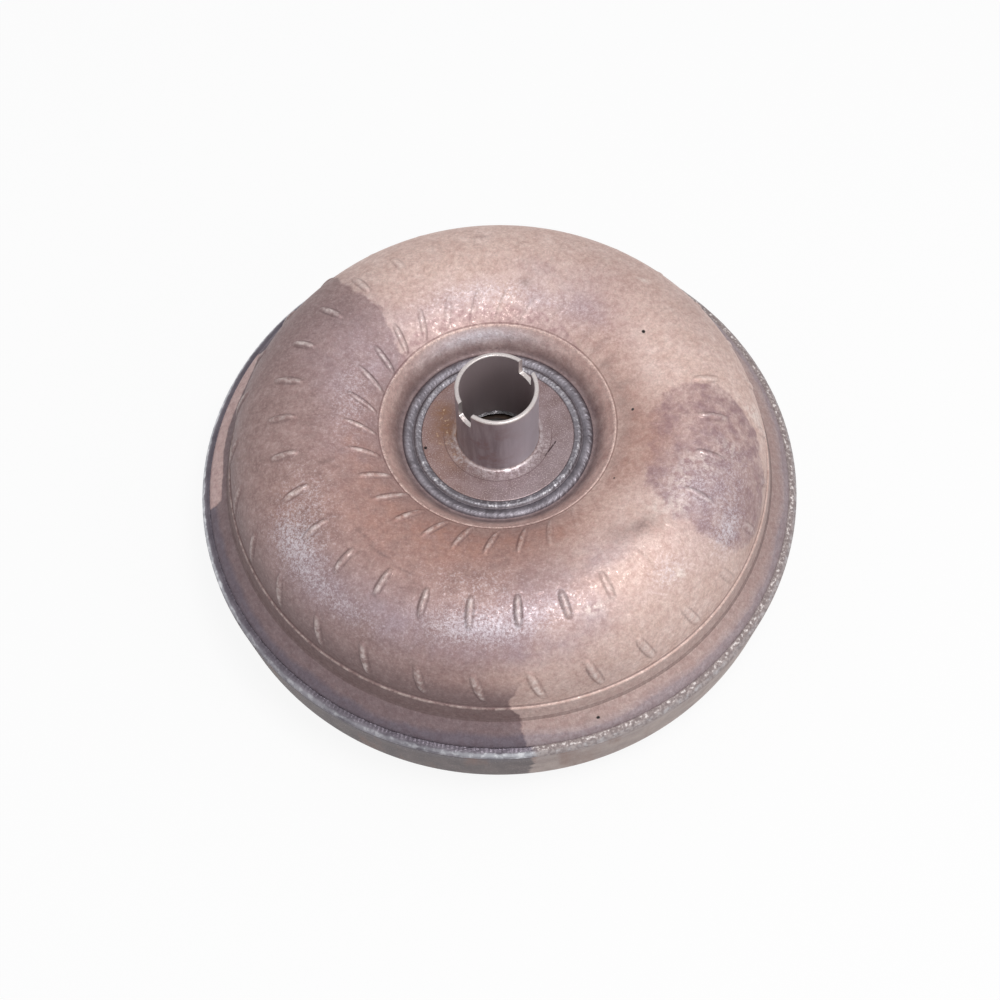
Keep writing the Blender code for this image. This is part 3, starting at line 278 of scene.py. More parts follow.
for a in np.arange(3.0, GROOVE_ANGLE, 8.0):
    r, z, _ = dome(a)
    slope = math.atan2(math.sin(math.radians(a)) / DOME_HEIGHT, math.cos(math.radians(a)) / DOME_OUTER)
    inside.append((r - THICKNESS * math.cos(slope), z - THICKNESS * math.sin(slope)))
inside += [(61.0, 108.3), (58.3, 105.2), (56.0, 102.4), (54.2, 99.8), (52.8, 97.6), (50.8, 96.6)]
around = np.arange(SHELL_COLUMNS) * TURN / SHELL_COLUMNS

tangent = np.gradient(outside, axis=0)
tangent /= np.linalg.norm(tangent, axis=1)[:, None]
normal = np.stack([-tangent[:, 1], tangent[:, 0]], axis=1)
normal[first_dome - 1 :][normal[first_dome - 1 :, 1] < 0] *= -1
raised = np.zeros((len(outside), SHELL_COLUMNS))
crest_of_rib = np.zeros((len(outside), SHELL_COLUMNS))
rib_foot_shade = np.zeros((len(outside), SHELL_COLUMNS))
pitch = 360 / BLADES
dome_run = run[first_dome : first_dome + len(crest)]
for rib_row in RIB_ROWS:
    start, end, half_width, rise, reach, share = rib_row
    low, high = np.interp((-start, -end), -dome_angles, dome_run)
    middle, half_length = (low + high) / 2, (high - low) / 2
    vary = np.random.default_rng(int(start)).normal(0, 1, (5, BLADES))
    # the press bedded less deep at the back and on the right, and its ring isn't quite true on the left
    bearing = (BLADE_START + np.arange(BLADES) * pitch + 120) % 360 - 120
    pressed = 1 - 0.8 * np.exp(-(((bearing - BACK) / 44) ** 4))
    pressed -= share * np.exp(-(((bearing - RIGHT_SIDE) / reach) ** 8))
    ahead = np.zeros(BLADES)
    if rib_row is MIDDLE_ROW:
        # four of its ribs show in the oval mark, and a fifth faintly beside it
        at_right = 0.75 * np.exp(-(((bearing - RIGHT_SIDE) / 21) ** 8))
        pressed += at_right + 0.2 * np.exp(-(((bearing - 34) / 6) ** 2))
        ahead = 1.4 * np.exp(-(((bearing - 165) / 32) ** 2))
    pressed = np.clip(pressed, LEAST_PRESSED, 1)
    for row in np.nonzero(np.abs(run - middle) < half_length + 3)[0]:
        blade = np.degrees(around) - BLADE_START - leads[row]
        number = np.round(blade / pitch).astype(int) % BLADES
        across = (blade - np.round(blade / pitch) * pitch - ahead[number]) * math.pi / 180 * outside[row, 0]
        across = across + 0.25 * vary[0][number] - 0.3 * vary[4][number] * (run[row] - middle) / half_length
        along = (run[row] - middle - 0.5 * vary[1][number]) / (half_length * (1 + 0.05 * vary[2][number]))
        width = half_width * np.sqrt(np.clip(1 - 0.75 * along**2, 0.03, 1))
        side = np.clip(1 - np.abs(across / width) ** 2.7, 0, 1)
        rib = side * np.clip(1 - along**4, 0, 1) ** 0.8
        raised[row] += rise * (1 + 0.12 * vary[3][number]) * pressed[number] * rib
        crest_of_rib[row] = np.maximum(crest_of_rib[row], np.clip(rib - 0.4, 0, 1) / 0.6 * pressed[number])
        # a dark line round each rib's foot: painted shade, with some dirt
        foot = np.exp(-(((np.abs(across) - width * 1.02) / 0.5) ** 2)) * np.clip(1.1 - along**2, 0, 1)
        rib_foot_shade[row] = np.maximum(rib_foot_shade[row], foot * pressed[number])
shell_points = np.zeros((len(outside) + len(inside), SHELL_COLUMNS, 3))
for row, (r, z) in enumerate(list(map(tuple, outside)) + inside):
    shift = raised[row] if row < len(outside) else 0.0
    out = normal[row] if row < len(outside) else (0.0, 0.0)
    radius = r + shift * out[0]
    shell_points[row, :, 0] = radius * np.cos(around)
    shell_points[row, :, 1] = radius * np.sin(around)
    shell_points[row, :, 2] = z + shift * out[1]
shell_mesh = grid_mesh("shell", shell_points)
facing_out(shell_mesh)


def on_shell(values, name):
    """Keeps one number for each point of the shell. The inside takes that of the outline's end."""
    full = np.concatenate([values, np.repeat(values[-1:], len(inside), axis=0)])
    points = shell_mesh.attributes.new(name, "FLOAT", "POINT").data
    points.foreach_set("value", full.astype(np.float32).ravel())


def inside_mark(outline):
    """How deep each point of the shell lies inside a mark, in millimetres, and less than 0 outside it.

    The outline's corners are an angle round the axis in degrees, and a distance out from the crease.
    """
    centre = sum(a for a, _ in outline) / len(outline)
    angle = (np.degrees(around)[None, :] - centre + 180) % 360 - 180
    x = np.radians(angle) * outside[:, :1]
    y = np.repeat(run[:, None], SHELL_COLUMNS, axis=1)
    radius_at = np.interp([s for _, s in outline], run, outside[:, 0])
    px = [math.radians((a - centre + 180) % 360 - 180) * r for (a, _), r in zip(outline, radius_at)]
    py = [s for _, s in outline]
    nearest = np.full(x.shape, 1e9)
    crossings = np.zeros(x.shape, int)
    for i in range(len(outline)):
        ax, ay, bx, by = px[i - 1], py[i - 1], px[i], py[i]
        ex, ey = bx - ax, by - ay
        t = np.clip(((x - ax) * ex + (y - ay) * ey) / (ex * ex + ey * ey), 0, 1)
        nearest = np.minimum(nearest, np.hypot(x - ax - t * ex, y - ay - t * ey))
        spans = (ay > y) != (by > y)
        crossings += spans & (x < ax + (y - ay) * ex / (ey if abs(ey) > 1e-9 else 1e-9))
    return np.where(crossings % 2 == 1, nearest, -nearest)


def soft_spots(*spots):
    """Faint round marks: an angle, a distance out, a half width in degrees, a half length, a strength."""
    total = np.zeros((len(outside), SHELL_COLUMNS))
    for angle, out, wide, long, strength in spots:
        turn = (np.degrees(around)[None, :] - angle + 180) % 360 - 180
        total += strength * np.exp(-((turn / wide) ** 2) - ((run[:, None] - out) / long) ** 2)
    return np.clip(total, 0, 1)


on_shell(np.repeat(run[:, None], SHELL_COLUMNS, axis=1), "run")
on_shell(crest_of_rib, "crest")
on_shell(rib_foot_shade, "foot")
DARK_TIDE = [
    (143, -22), (141, -2), (138, 8), (134, 22), (132.5, 40), (132, 62), (130, 85), (127, 105), (125, 130),
    (124, 176), (170, 176), (200, 176), (240, 176), (274.8, 176), (274.8, 150), (274.2, 136), (274, 128),
    (273, 120), (272.5, 112), (271.2, 106), (271, 100), (272.5, 92), (275, 83), (277.5, 76), (281, 70),
    (284, 63), (291, 55), (301, 44), (305, 30), (307, 16), (311, 6), (315, -4), (318, -22), (270, -22),
    (230, -22), (190, -22),
]  # fmt: skip
PURPLE_TIDE = [
    (325.5, 50), (325.5, 40), (328, 30), (333, 22.5), (341, 19.5), (350, 19), (358, 18.5), (364, 23),
    (368, 32), (369.5, 43), (368, 57), (363, 69), (359, 78), (353, 86), (349, 93), (344, 98.5),
    (338, 98.5), (333, 94), (329, 84), (327, 72), (325.5, 60),
]  # fmt: skip
# round the crease at the back, oil ran out along the ribs and left a fringe
degrees = np.degrees(around)[None, :]
teeth = 6.0 + 5.0 * np.abs(np.sin(np.radians(degrees - 4) * BLADES / 2)) ** 0.8
on_shell(teeth * np.exp(-(((degrees - 96) / 46) ** 6)) - run[:, None] - 0.5, "fringe")
PINK_PATCH = [
    (149, 125), (157, 122), (163, 121), (170, 122), (180, 120), (186.2, 121), (186.8, 130), (185.2, 136),
    (185.8, 146), (170, 149), (150, 148),
]  # fmt: skip
on_shell(inside_mark(DARK_TIDE), "dark_tide")
# at the front right of the crown the dark mark fades out, and has no edge
turn = (np.degrees(around)[None, :] - 285 + 180) % 360 - 180
faded = np.clip((turn + 45) / 20, 0, 1) * np.clip((60 - turn) / 10, 0, 1)
on_shell(faded * np.clip((97 - run[:, None]) / 12, 0, 1), "faded")
on_shell(inside_mark(PURPLE_TIDE), "purple_tide")
on_shell(inside_mark(PINK_PATCH), "pink_patch")
on_shell(
    soft_spots(
        (245, 12, 42, 14, 1.0), (225, 32, 30, 16, 0.6), (262, 30, 26, 13, 0.25), (290, 12, 26, 10, 0.7),
        (335, 8, 24, 9, 0.6), (10, 10, 24, 9, 0.5), (40, 12, 18, 10, 0.35), (350, 20, 16, 12, 0.6),
        (46, 42, 17, 22, 0.25), (340, 17, 13, 8, 0.35),
        (205, 60, 12, 14, 0.4), (262, 70, 14, 8, 0.3), (190, 12, 20, 10, 0.5), (262, 88, 12, 8, 0.25),
    ),
    "rust",
)  # fmt: skip
on_shell(
    soft_spots(
        (165, 14, 34, 18, 0.8), (150, 30, 16, 22, 0.5), (246, 64, 26, 12, 0.85), (222, 70, 14, 14, 0.6),
        (280, 50, 10, 16, 0.7), (335, 52, 14, 24, 0.7), (295, 32, 16, 12, 0.4), (60, 14, 40, 14, 0.25),
        (272, 66, 20, 12, 0.9), (285, 58, 12, 10, 0.6), (50, 22, 16, 10, 0.5), (54, 38, 16, 14, 0.25),
        (241, 13, 9, 6, 0.45), (300, 38, 9, 6, 0.5), (98, 14, 34, 10, 0.6), (72, 34, 12, 7, 0.4),
    ),
    "violet",
)  # fmt: skip
# bare metal spots, which also carry a painted sheen where the highlights fall
on_shell(
    soft_spots(
        (271, 56, 14, 11, 0.7), (262, 36, 15, 10, 0.35), (331, 74, 7, 10, 0.8), (258, 60, 9, 9, 0.45),
        (214, 64, 11, 13, 0.8), (232, 70, 12, 8, 0.45), (286, 50, 8, 8, 0.35), (335, 48, 8, 16, 0.55),
        (345, 66, 8, 12, 0.4), (70, 16, 34, 10, 0.3),
        (100, 18, 26, 10, 0.4), (170, 16, 20, 12, 0.45), (205, 44, 12, 14, 0.35), (313, 62, 7, 10, 0.6),
        (100, -6, 34, 5, 0.9),
    ),
    "bare_and_sheen",
)  # fmt: skip
on_shell(
    soft_spots(
        (150, 70, 20, 34, 0.68), (165, 100, 24, 20, 0.8), (200, 96, 26, 16, 0.45), (235, 96, 26, 14, 0.6),
        (262, 98, 12, 12, 0.5), (262, 122, 20, 5, 0.3), (140, 40, 8, 20, 0.3), (287, 94, 11, 13, 0.3),
        (33, 70, 15, 20, 0.22), (58, 60, 14, 16, 0.16), (340, 78, 8, 10, 0.5), (341, 93, 9, 8, 0.45),
        (348, 118, 26, 9, 0.6), (350, 22, 20, 12, 0.2),
    ),
    "smoke",
)  # fmt: skip
# thin stains where oil ran, scuffs, and pits, each with the same five numbers
on_shell(
    soft_spots(
        (285.6, 122, 0.9, 1.8, 0.35), (78.5, 24, 2.2, 2.6, 0.5), (93, 55, 2.2, 1.6, 0.45),
        (226, 35.5, 5, 0.9, 0.5), (233, 37.5, 5, 0.9, 0.6), (241, 39.5, 5, 0.9, 0.5),
        (196, 31.0, 1.2, 5, 0.6),
        (199, 27.0, 1.0, 3, 0.5), (316, 36, 3.5, 4.0, 0.6), (320, 40, 5, 6, 0.35), (310, 31, 5, 6, 0.35),
        (8, 5, 6, 5, 0.4), (352, 5, 7, 5, 0.35), (22, 4, 8, 4, 0.3), (336, 4, 6, 4, 0.3),
        (288, 2, 14, 3, 0.3),
        (30, 6, 2, 8, 0.35), (38, 8, 2, 8, 0.3), (46, 7, 2, 8, 0.3), (16, 8, 2, 7, 0.3),
        (0, 8, 2.5, 8, 0.25),
    ),
    "stain",
)  # fmt: skip
on_shell(
    soft_spots(
        (3.5, 82, 2.2, 9, 0.9), (292, 57.5, 2.6, 2.6, 0.8), (315, 67, 1.8, 2.4, 0.7),
        (46, 56, 1.6, 2.4, 0.5),
        (343, 46, 3, 10, 0.45), (336, 40, 4, 6, 0.45), (328, 44, 3, 6, 0.5), (324, 36, 3, 5, 0.4),
        (350, 60, 2.5, 8, 0.4),
    ),
    "scuff",
)  # fmt: skip
on_shell(
    soft_spots(
        (2.8, 9.5, 0.75, 0.8, 1.0), (31.6, 31.4, 0.75, 1.0, 1.0), (328, 8.1, 0.6, 0.7, 0.8),
        (287.9, 123.3, 0.4, 0.9, 1.0),
    ),
    "pit",
)  # fmt: skip


def socket(group, name, default=None, into="INPUT"):
    """A number that a node group takes in or gives out."""
    made = group.interface.new_socket(name=name, in_out=into, socket_type="NodeSocketFloat")
    if default is not None:
        made.default_value = default


def times(tree, *values):
    """Several numbers multiplied, from left to right."""
    product = values[0]
    for value in values[1:]:
        product = maths(tree, "MULTIPLY", product, value)
    return product


def plus(tree, one, other):
    return maths(tree, "ADD", one, other)


def minus(tree, one, other):
    return maths(tree, "SUBTRACT", one, other)


def band(tree, value, middle, half):
    """1 where value lies within half of middle, and 0 elsewhere."""
    return maths(tree, "COMPARE", value, middle, half)


def swing(tree, value, amount):
    """A noise from 0 to 1 made to swing about 0, with amount from end to end."""
    return times(tree, minus(tree, value, 0.5), amount)


def between(tree, value, low, high, to_low=0.0, to_high=1.0):
    """value carried from one span to another, and held at its ends."""
    keys = {"Value": value, "From Min": low, "From Max": high, "To Min": to_low, "To Max": to_high}
    return add(tree, "MapRange", keys, clamp=True).outputs["Result"]


def tint(tree, share, one, other, blend="MIX"):
    """One colour mixed with another by share."""
    keys = {0: share, 6: one, 7: other}
    return add(tree, "Mix", keys, data_type="RGBA", blend_type=blend).outputs[2]


def srgb(red, green, blue):
    """A colour as it is read off a screen, for a shader's socket."""
    line = [c / 255 / 12.92 if c <= 10 else ((c / 255 + 0.055) / 1.055) ** 2.4 for c in (red, green, blue)]
    return (*line, 1.0)


def coated(tree, colour, over, *shares):
    """colour, covered with another by the product of its shares."""
    return tint(tree, times(tree, *shares), colour, srgb(*over))


def noise(tree, place, scale, detail=3.0, roughness=0.55, seed=0.0):
    """Cloudy noise, 0 to 1, with its lumps about 1 / scale metres wide."""
    if seed:
        place = add(tree, "VectorMath", {0: place, 1: (seed, seed, seed)}).outputs[0]
    keys = {"Vector": place, "Scale": scale, "Detail": detail, "Roughness": roughness}
    return add(tree, "TexNoise", keys).outputs["Fac"]


# Grain: the dry, sandy skin of furnace-brazed steel. It glints where a crystal lies bare.
grain = bpy.data.node_groups.new("sandy_grain", "ShaderNodeTree")
socket(grain, "Size", 1.0)
socket(grain, "Seed", 0.0)
for out in ("Fine", "Crumb", "Patch", "Cloud", "Glint", "Height"):
    socket(grain, out, into="OUTPUT")
entry = grain.nodes.new("NodeGroupInput").outputs
leave = grain.nodes.new("NodeGroupOutput").inputs
place = add(grain, "TexCoord").outputs["Object"]
place = add(grain, "VectorMath", {0: place, 1: entry["Seed"]}).outputs[0]


def sized(scale):
    """The scale of a part of the grain, for the size that is asked for."""
    return maths(grain, "DIVIDE", scale, entry["Size"])


fine = noise(grain, place, sized(1500.0), 2.0, 0.6)
crumb = noise(grain, place, sized(700.0), 2.0, 0.6)
cloud = noise(grain, place, sized(120.0), 5.0, 0.62)
cells = add(grain, "TexVoronoi", {"Vector": place, "Scale": sized(1150.0)}, feature="F1").outputs["Color"]
glint = between(grain, add(grain, "SeparateColor", {"Color": cells}).outputs[0], 0.72, 0.95)
spread = noise(grain, place, sized(320.0), 3.0, 0.6)
glint = times(grain, glint, between(grain, spread, 0.42, 0.6))
height = plus(grain, times(grain, fine, 0.5), times(grain, spread, 0.5))
height = plus(grain, height, times(grain, crumb, 0.4))
made = {"Fine": fine, "Crumb": crumb, "Patch": spread, "Cloud": cloud, "Glint": glint, "Height": height}
for name, value in made.items():
    link(grain, value, leave[name])

# Tide: the ragged edge of a mark, from how deep a point lies inside its outline.
tide = bpy.data.node_groups.new("ragged_edge", "ShaderNodeTree")
socket(tide, "Depth", 0.0)
socket(tide, "Wander", 2.0)
socket(tide, "Softness", 0.6)
socket(tide, "Mask", into="OUTPUT")
entry = tide.nodes.new("NodeGroupInput").outputs
leave = tide.nodes.new("NodeGroupOutput").inputs
place = add(tide, "TexCoord").outputs["Object"]
wander = swing(tide, noise(tide, place, 110.0, 6.0, 0.6, 3.0), times(tide, entry["Wander"], 4.0))
low = times(tide, entry["Softness"], -1.0)
link(tide, between(tide, plus(tide, entry["Depth"], wander), low, entry["Softness"]), leave["Mask"])


def grouped(tree, group, **inputs):
    """Places a node group and returns its outputs by name."""
    node = tree.nodes.new("ShaderNodeGroup")
    node.node_tree = group
    for key, value in inputs.items():
        if isinstance(value, bpy.types.NodeSocket):
            tree.links.new(value, node.inputs[key])
        else:
            node.inputs[key].default_value = value
    return node.outputs


def finish(name, metallic, roughness, grain_size, seed):
    """A new material: itself, its tree, its shader, a point's place on the piece, and its grain."""
    made = bpy.data.materials.new(name)
    made.use_nodes = True
    tree = made.node_tree
    shader = tree.nodes["Principled BSDF"]
    shader.inputs["Metallic"].default_value = metallic
    shader.inputs["Roughness"].default_value = roughness
    place = add(tree, "TexCoord").outputs["Object"]
    return made, tree, shader, place, grouped(tree, grain, Size=grain_size, Seed=seed)


def dress(tree, shader, colour, rough, height, depth, strength):
    """Joins a colour, a roughness and a relief, depth in millimetres, to the shader."""
    link(tree, colour, shader.inputs["Base Color"])
    link(tree, rough, shader.inputs["Roughness"])
    bump = add(tree, "Bump", {"Height": height, "Distance": depth * MM, "Strength": strength})
    link(tree, bump.outputs[0], shader.inputs["Normal"])


def grained(tree, colour, red, others):
    """colour made lighter and darker by a grain, whose share for red can differ."""
    share = add(tree, "CombineColor", {"Red": red, "Green": others, "Blue": others}).outputs[0]
    return tint(tree, 1.0, colour, share, "MULTIPLY")


def kept(tree, name):
    """A number that the mesh keeps at each point."""
    return add(tree, "Attribute", attribute_name=name).outputs["Fac"]


def ragged(tree, mark, wander, softness):
    """The ragged mask of one of the shell's marks."""
    return grouped(tree, tide, Depth=kept(tree, mark), Wander=wander, Softness=softness)["Mask"]


# places on the shell, by how far out from the crease they lie, in millimetres
SHADE_LINE_RUN, CORNER_RUN, WALL_RUN, WALL_FOOT_RUN = 105.7, 107.2, 111.6, 116.3

baked, tree, shader, place, sand = finish("baked_steel", 0.5, 0.56, 1.0, 0.0)
run_out = kept(tree, "run")
in_groove = between(tree, run_out, -0.4, -1.6)
on_dome = minus(tree, 1.0, in_groove)
dark = times(tree, ragged(tree, "dark_tide", 1.6, 0.5), on_dome)
deep = plus(tree, kept(tree, "dark_tide"), swing(tree, sand["Cloud"], 30.0))
fading = times(tree, minus(tree, 1.0, between(tree, deep, 2.0, 30.0)), kept(tree, "faded"))
dark = times(tree, dark, minus(tree, 1.0, fading))
purple = ragged(tree, "purple_tide", 3.6, 1.2)
pink = ragged(tree, "pink_patch", 0.8, 0.5)
fringe = ragged(tree, "fringe", 1.2, 0.9)
cloudy = between(tree, sand["Cloud"], 0.34, 0.66)
blotch = between(tree, noise(tree, place, 38.0, 5.0, 0.6, 5.0), 0.35, 0.65)
colour = tint(tree, cloudy, srgb(205, 177, 167), srgb(215, 190, 182))
drifts = between(tree, noise(tree, place, 20.0, 5.0, 0.6, 9.0), 0.45, 0.68, 0.0, 0.5)
colour = coated(tree, colour, (192, 158, 147), drifts)
colour = tint(tree, dark, colour, tint(tree, cloudy, srgb(145, 119, 115), srgb(167, 141, 137)))
colour = coated(tree, colour, (132, 110, 110), kept(tree, "smoke"), 0.9)
colour = coated(tree, colour, (156, 128, 129), purple, between(tree, sand["Cloud"], 0.4, 0.6, 1.0, 0.4))
colour = coated(tree, colour, (166, 146, 152), kept(tree, "violet"), between(tree, blotch, 0, 1, 0.35, 1.0))
colour = coated(tree, colour, (170, 130, 118), kept(tree, "rust"), between(tree, cloudy, 0, 1, 0.4, 1.0))
# bare metal with a painted sheen: whitish specks on the dome, and a paler groove below
bare_and_sheen = kept(tree, "bare_and_sheen")
crumbs = times(tree, plus(tree, sand["Fine"], sand["Crumb"]), 0.5)
scatter = between(tree, plus(tree, crumbs, times(tree, bare_and_sheen, 0.18)), 0.54, 0.7)
colour = coated(tree, colour, (206, 199, 206), scatter, plus(tree, times(tree, bare_and_sheen, 0.7), 0.12))
# the closing weld's heat has blued the skirt
skirt_share = times(tree, between(tree, run_out, 115.5, 118.0), between(tree, dark, 0, 1, 0.72, 0.35))
blued = plus(tree, run_out, swing(tree, blotch, 2.5))
skirt_share = maths(tree, "MAXIMUM", skirt_share, between(tree, blued, 121.0, 126.5, 0.0, 0.9))
# painted shade: within the dark mark the dome's lower flank is made darker
colour = coated(tree, colour, (108, 88, 88), dark, between(tree, run_out, 86.0, 103.0, 0.0, 0.5))
pale_skirt = tint(tree, between(tree, blued, 121.5, 126.0), srgb(156, 133, 130), srgb(145, 131, 136))
colour = tint(tree, skirt_share, colour, tint(tree, dark, pale_skirt, srgb(104, 94, 104)))
# the step's wall is painted darker than the dome, as painted shade, and a painted line of shade lies along
# its foot
wall_shade = times(tree, band(tree, run_out, WALL_RUN, 3.9), 0.6)
colour = tint(tree, wall_shade, colour, tint(tree, dark, srgb(176, 155, 151), srgb(120, 100, 99)))
colour = coated(tree, colour, (92, 74, 74), band(tree, run_out, WALL_FOOT_RUN, 1.0), 0.55)
oily = between(tree, sand["Patch"], 0.35, 0.6, 0.75, 0.35)
colour = coated(tree, colour, (168, 138, 139), fringe, on_dome, oily)
colour = coated(tree, colour, (196, 168, 164), pink, 0.85)
# a painted highlight runs along the step's corner, strongest where the dark mark crosses it, and a painted
# line of shade lies on the dome's side of it
corner = times(tree, band(tree, run_out, CORNER_RUN, 0.55), between(tree, dark, 0, 1, 0.2, 1.0))
colour = coated(tree, colour, (200, 182, 175), corner, between(tree, sand["Patch"], 0.35, 0.6, 0.0, 0.5))
colour = coated(tree, colour, (104, 84, 84), band(tree, run_out, SHADE_LINE_RUN, 0.7), 0.45)
# the sunk middle keeps a rusty pink, paler where a painted sheen lies on bare metal, and is darker towards
# the hub's weld
pinkish = tint(tree, cloudy, srgb(192, 158, 150), srgb(212, 182, 174))
pinkish = coated(tree, pinkish, (222, 222, 232), bare_and_sheen, 0.8)
colour = tint(tree, times(tree, in_groove, 0.75), colour, pinkish)
darker_to_weld = between(tree, plus(tree, run_out, swing(tree, sand["Cloud"], 6.0)), -5.0, -16.0)
colour = coated(tree, colour, (98, 85, 90), darker_to_weld, 0.8)
# a painted highlight runs along the crease's rubbed lip, and a scribed line lies outside it
lip_highlight = times(tree, band(tree, run_out, -0.9, 0.8), between(tree, crumbs, 0.42, 0.6, 0.1, 0.75))
colour = coated(tree, colour, (226, 200, 190), lip_highlight)
colour = coated(tree, colour, (110, 80, 74), band(tree, run_out, 0.5, 0.4), 0.5)
soaked = between(tree, sand["Patch"], 0.35, 0.55, 0.4, 0.9)
colour = coated(tree, colour, (108, 84, 82), kept(tree, "stain"), soaked)
colour = coated(tree, colour, (220, 204, 197), kept(tree, "scuff"), between(tree, sand["Patch"], 0.42, 0.56))
colour = coated(tree, colour, (22, 16, 17), between(tree, kept(tree, "pit"), 0.3, 0.6))
# painted shade, with some dirt, as a dark line round each rib's foot
foot_shade_share = between(tree, sand["Cloud"], 0.35, 0.6, 0.4, 0.72)
colour = coated(tree, colour, (100, 80, 80), kept(tree, "foot"), foot_shade_share)
rubbed = between(tree, sand["Patch"], 0.38, 0.64, 0.08, 0.55)
colour = coated(tree, colour, (218, 204, 200), kept(tree, "crest"), rubbed)
speckle = between(tree, crumbs, 0.36, 0.64, 0.83, 1.14)
warm = times(tree, speckle, between(tree, sand["Patch"], 0.35, 0.65, 0.91, 1.08))
cool = times(tree, speckle, between(tree, sand["Patch"], 0.35, 0.65, 0.87, 1.11))
colour = grained(tree, colour, warm, cool)
rough = minus(tree, between(tree, sand["Fine"], 0.3, 0.7, 0.5, 0.66), times(tree, sand["Glint"], 0.22))
dress(tree, shader, colour, rough, sand["Height"], 0.25, 0.85)
metal = plus(tree, 0.42, times(tree, plus(tree, bare_and_sheen, sand["Glint"]), 0.22))
link(tree, maths(tree, "MINIMUM", metal, 0.95), shader.inputs["Metallic"])

show("impeller_shell_pressing", shell_mesh, "housing", ["impeller_shell"], baked, 60)


# Closing weld. One pass of a robot welder round the corner between the shell's skirt and the cover's
# rim. It is bright and rippled, blued on both sides, and isn't ground off. On the pale side of the
# tide mark it is dull and beige.


def ringed(name, outline, columns, shift=None):
    """A closed ring swept round the axis. shift moves each point by (out, up) in millimetres."""
    outline = np.array(outline, float)
    angle = np.arange(columns) * TURN / columns
    radius = np.repeat(outline[:, :1], columns, axis=1)
    height = np.repeat(outline[:, 1:], columns, axis=1)
    if shift is not None:
        out, up = shift(radius, height, angle[None, :])
        radius, height = radius + out, height + up
    points = np.stack([radius * np.cos(angle), radius * np.sin(angle), height], axis=-1)
    mesh = grid_mesh(name, points)
    facing_out(mesh)
    return mesh


def waves(angle, count, seed, low, high):
    """Several waves round the axis, with random shares, about 1 in size together."""
    draw = np.random.default_rng(seed)
    total = 0
    for _ in range(count):
        total = total + draw.normal() * np.sin(draw.integers(low, high) * angle + draw.uniform(0, TURN))
    return total / count**0.5


def bead_shift(low_radius, ripple, lumps, seed, ripples):
    """The ripples and lumps of a welded bead, strongest on its crown."""

    def shift(radius, height, angle):
        crown = np.clip((height - height.min()) / np.ptp(height), 0, 1)
        lag = 0.55 * ((radius - low_radius) / 4.0) ** 2
        steps = np.sin(ripples * (angle + waves(angle, 6, seed + 1, 20, 60) * 0.003) + lag)
        rough = waves(angle + radius * 0.02, 16, seed, 30, 260)
        return 0.4 * lumps * crown * rough, crown * (ripple * steps + lumps * rough)

    return shift


FOOT = 54.92  # just above the cover's rim
bead = [
    (155.3, FOOT - 0.6), (160.05, FOOT - 0.6), (160.1, FOOT + 0.2), (160.0, FOOT + 0.8),
    (159.6, FOOT + 1.5),
    (159.1, FOOT + 2.15), (158.4, FOOT + 2.75), (157.6, FOOT + 3.15), (156.7, FOOT + 3.4),
    (155.9, FOOT + 3.6),
    (155.3, FOOT + 3.3),
]  # fmt: skip
closing_bead = ringed("closing_bead", stepped(bead, 0.45), 1620, bead_shift(157.5, 0.10, 0.13, 3, 460))

def round_axis(tree, place):
    """A point's x, y and z, and its distance from the converter's axis."""
    x, y, z = add(tree, "SeparateXYZ", {"Vector": place}).outputs
    flat = add(tree, "CombineXYZ", {"X": x, "Y": y}).outputs[0]
    return x, y, z, add(tree, "VectorMath", {0: flat}, operation="LENGTH").outputs["Value"]


def towards(tree, place, direction):
    """How far out a point lies in a direction."""
    return add(tree, "VectorMath", {0: place, 1: direction}, operation="DOT_PRODUCT").outputs["Value"]


def clouded(tree, sand, low, high, start=0.36, end=0.62):
    """Two colours in soft clouds."""
    return tint(tree, between(tree, sand["Cloud"], start, end), srgb(*low), srgb(*high))


CROWN_RADIUS = 159.3 * MM
TIDE_FRONT, TIDE_BACK = -85.6, 124.0  # where the tide mark crosses the weld and the cover, in degrees

weld_steel, tree, shader, place, sand = finish("weld_steel", 0.9, 0.42, 1.2, 1.0)
x, y, z, from_axis = round_axis(tree, place)
lumps = noise(tree, place, 170.0, 4.0, 0.6, 8.0)
colour = clouded(tree, sand, (96, 90, 98), (128, 122, 130), 0.35)
# the crown of the bead is clean metal, in lumps, with a painted highlight along it, and the bead's upper side
# is painted darker, as painted shade
off_crown = maths(tree, "ABSOLUTE", minus(tree, from_axis, CROWN_RADIUS))
crown = between(tree, plus(tree, off_crown, times(tree, lumps, 2.2 * MM)), 2.2 * MM, 1.4 * MM)
# the crown's painted highlight is weaker at the front left
front_left = towards(tree, place, (-0.574, -0.819, 0))
crown = times(tree, crown, between(tree, front_left, 0.134, 0.149, 1.0, 0.35))
colour = coated(tree, colour, (176, 176, 182), crown)
colour = coated(tree, colour, (84, 77, 85), between(tree, from_axis, 0.1581, 0.1570, 0.0, 0.7))
# on the pale side of the tide mark the whole bead has a beige skin, with white flecks along its top
bearing = maths(tree, "ARCTAN2", y, x)
pale_side = between(tree, bearing, math.radians(TIDE_FRONT), math.radians(TIDE_FRONT + 1.6))
back_end = between(tree, bearing, math.radians(TIDE_BACK + 0.7), math.radians(TIDE_BACK))
pale_side = times(tree, pale_side, back_end)
beige = tint(tree, between(tree, sand["Crumb"], 0.4, 0.6), srgb(138, 125, 123), srgb(172, 159, 156))
colour = tint(tree, times(tree, pale_side, 0.85), colour, beige)
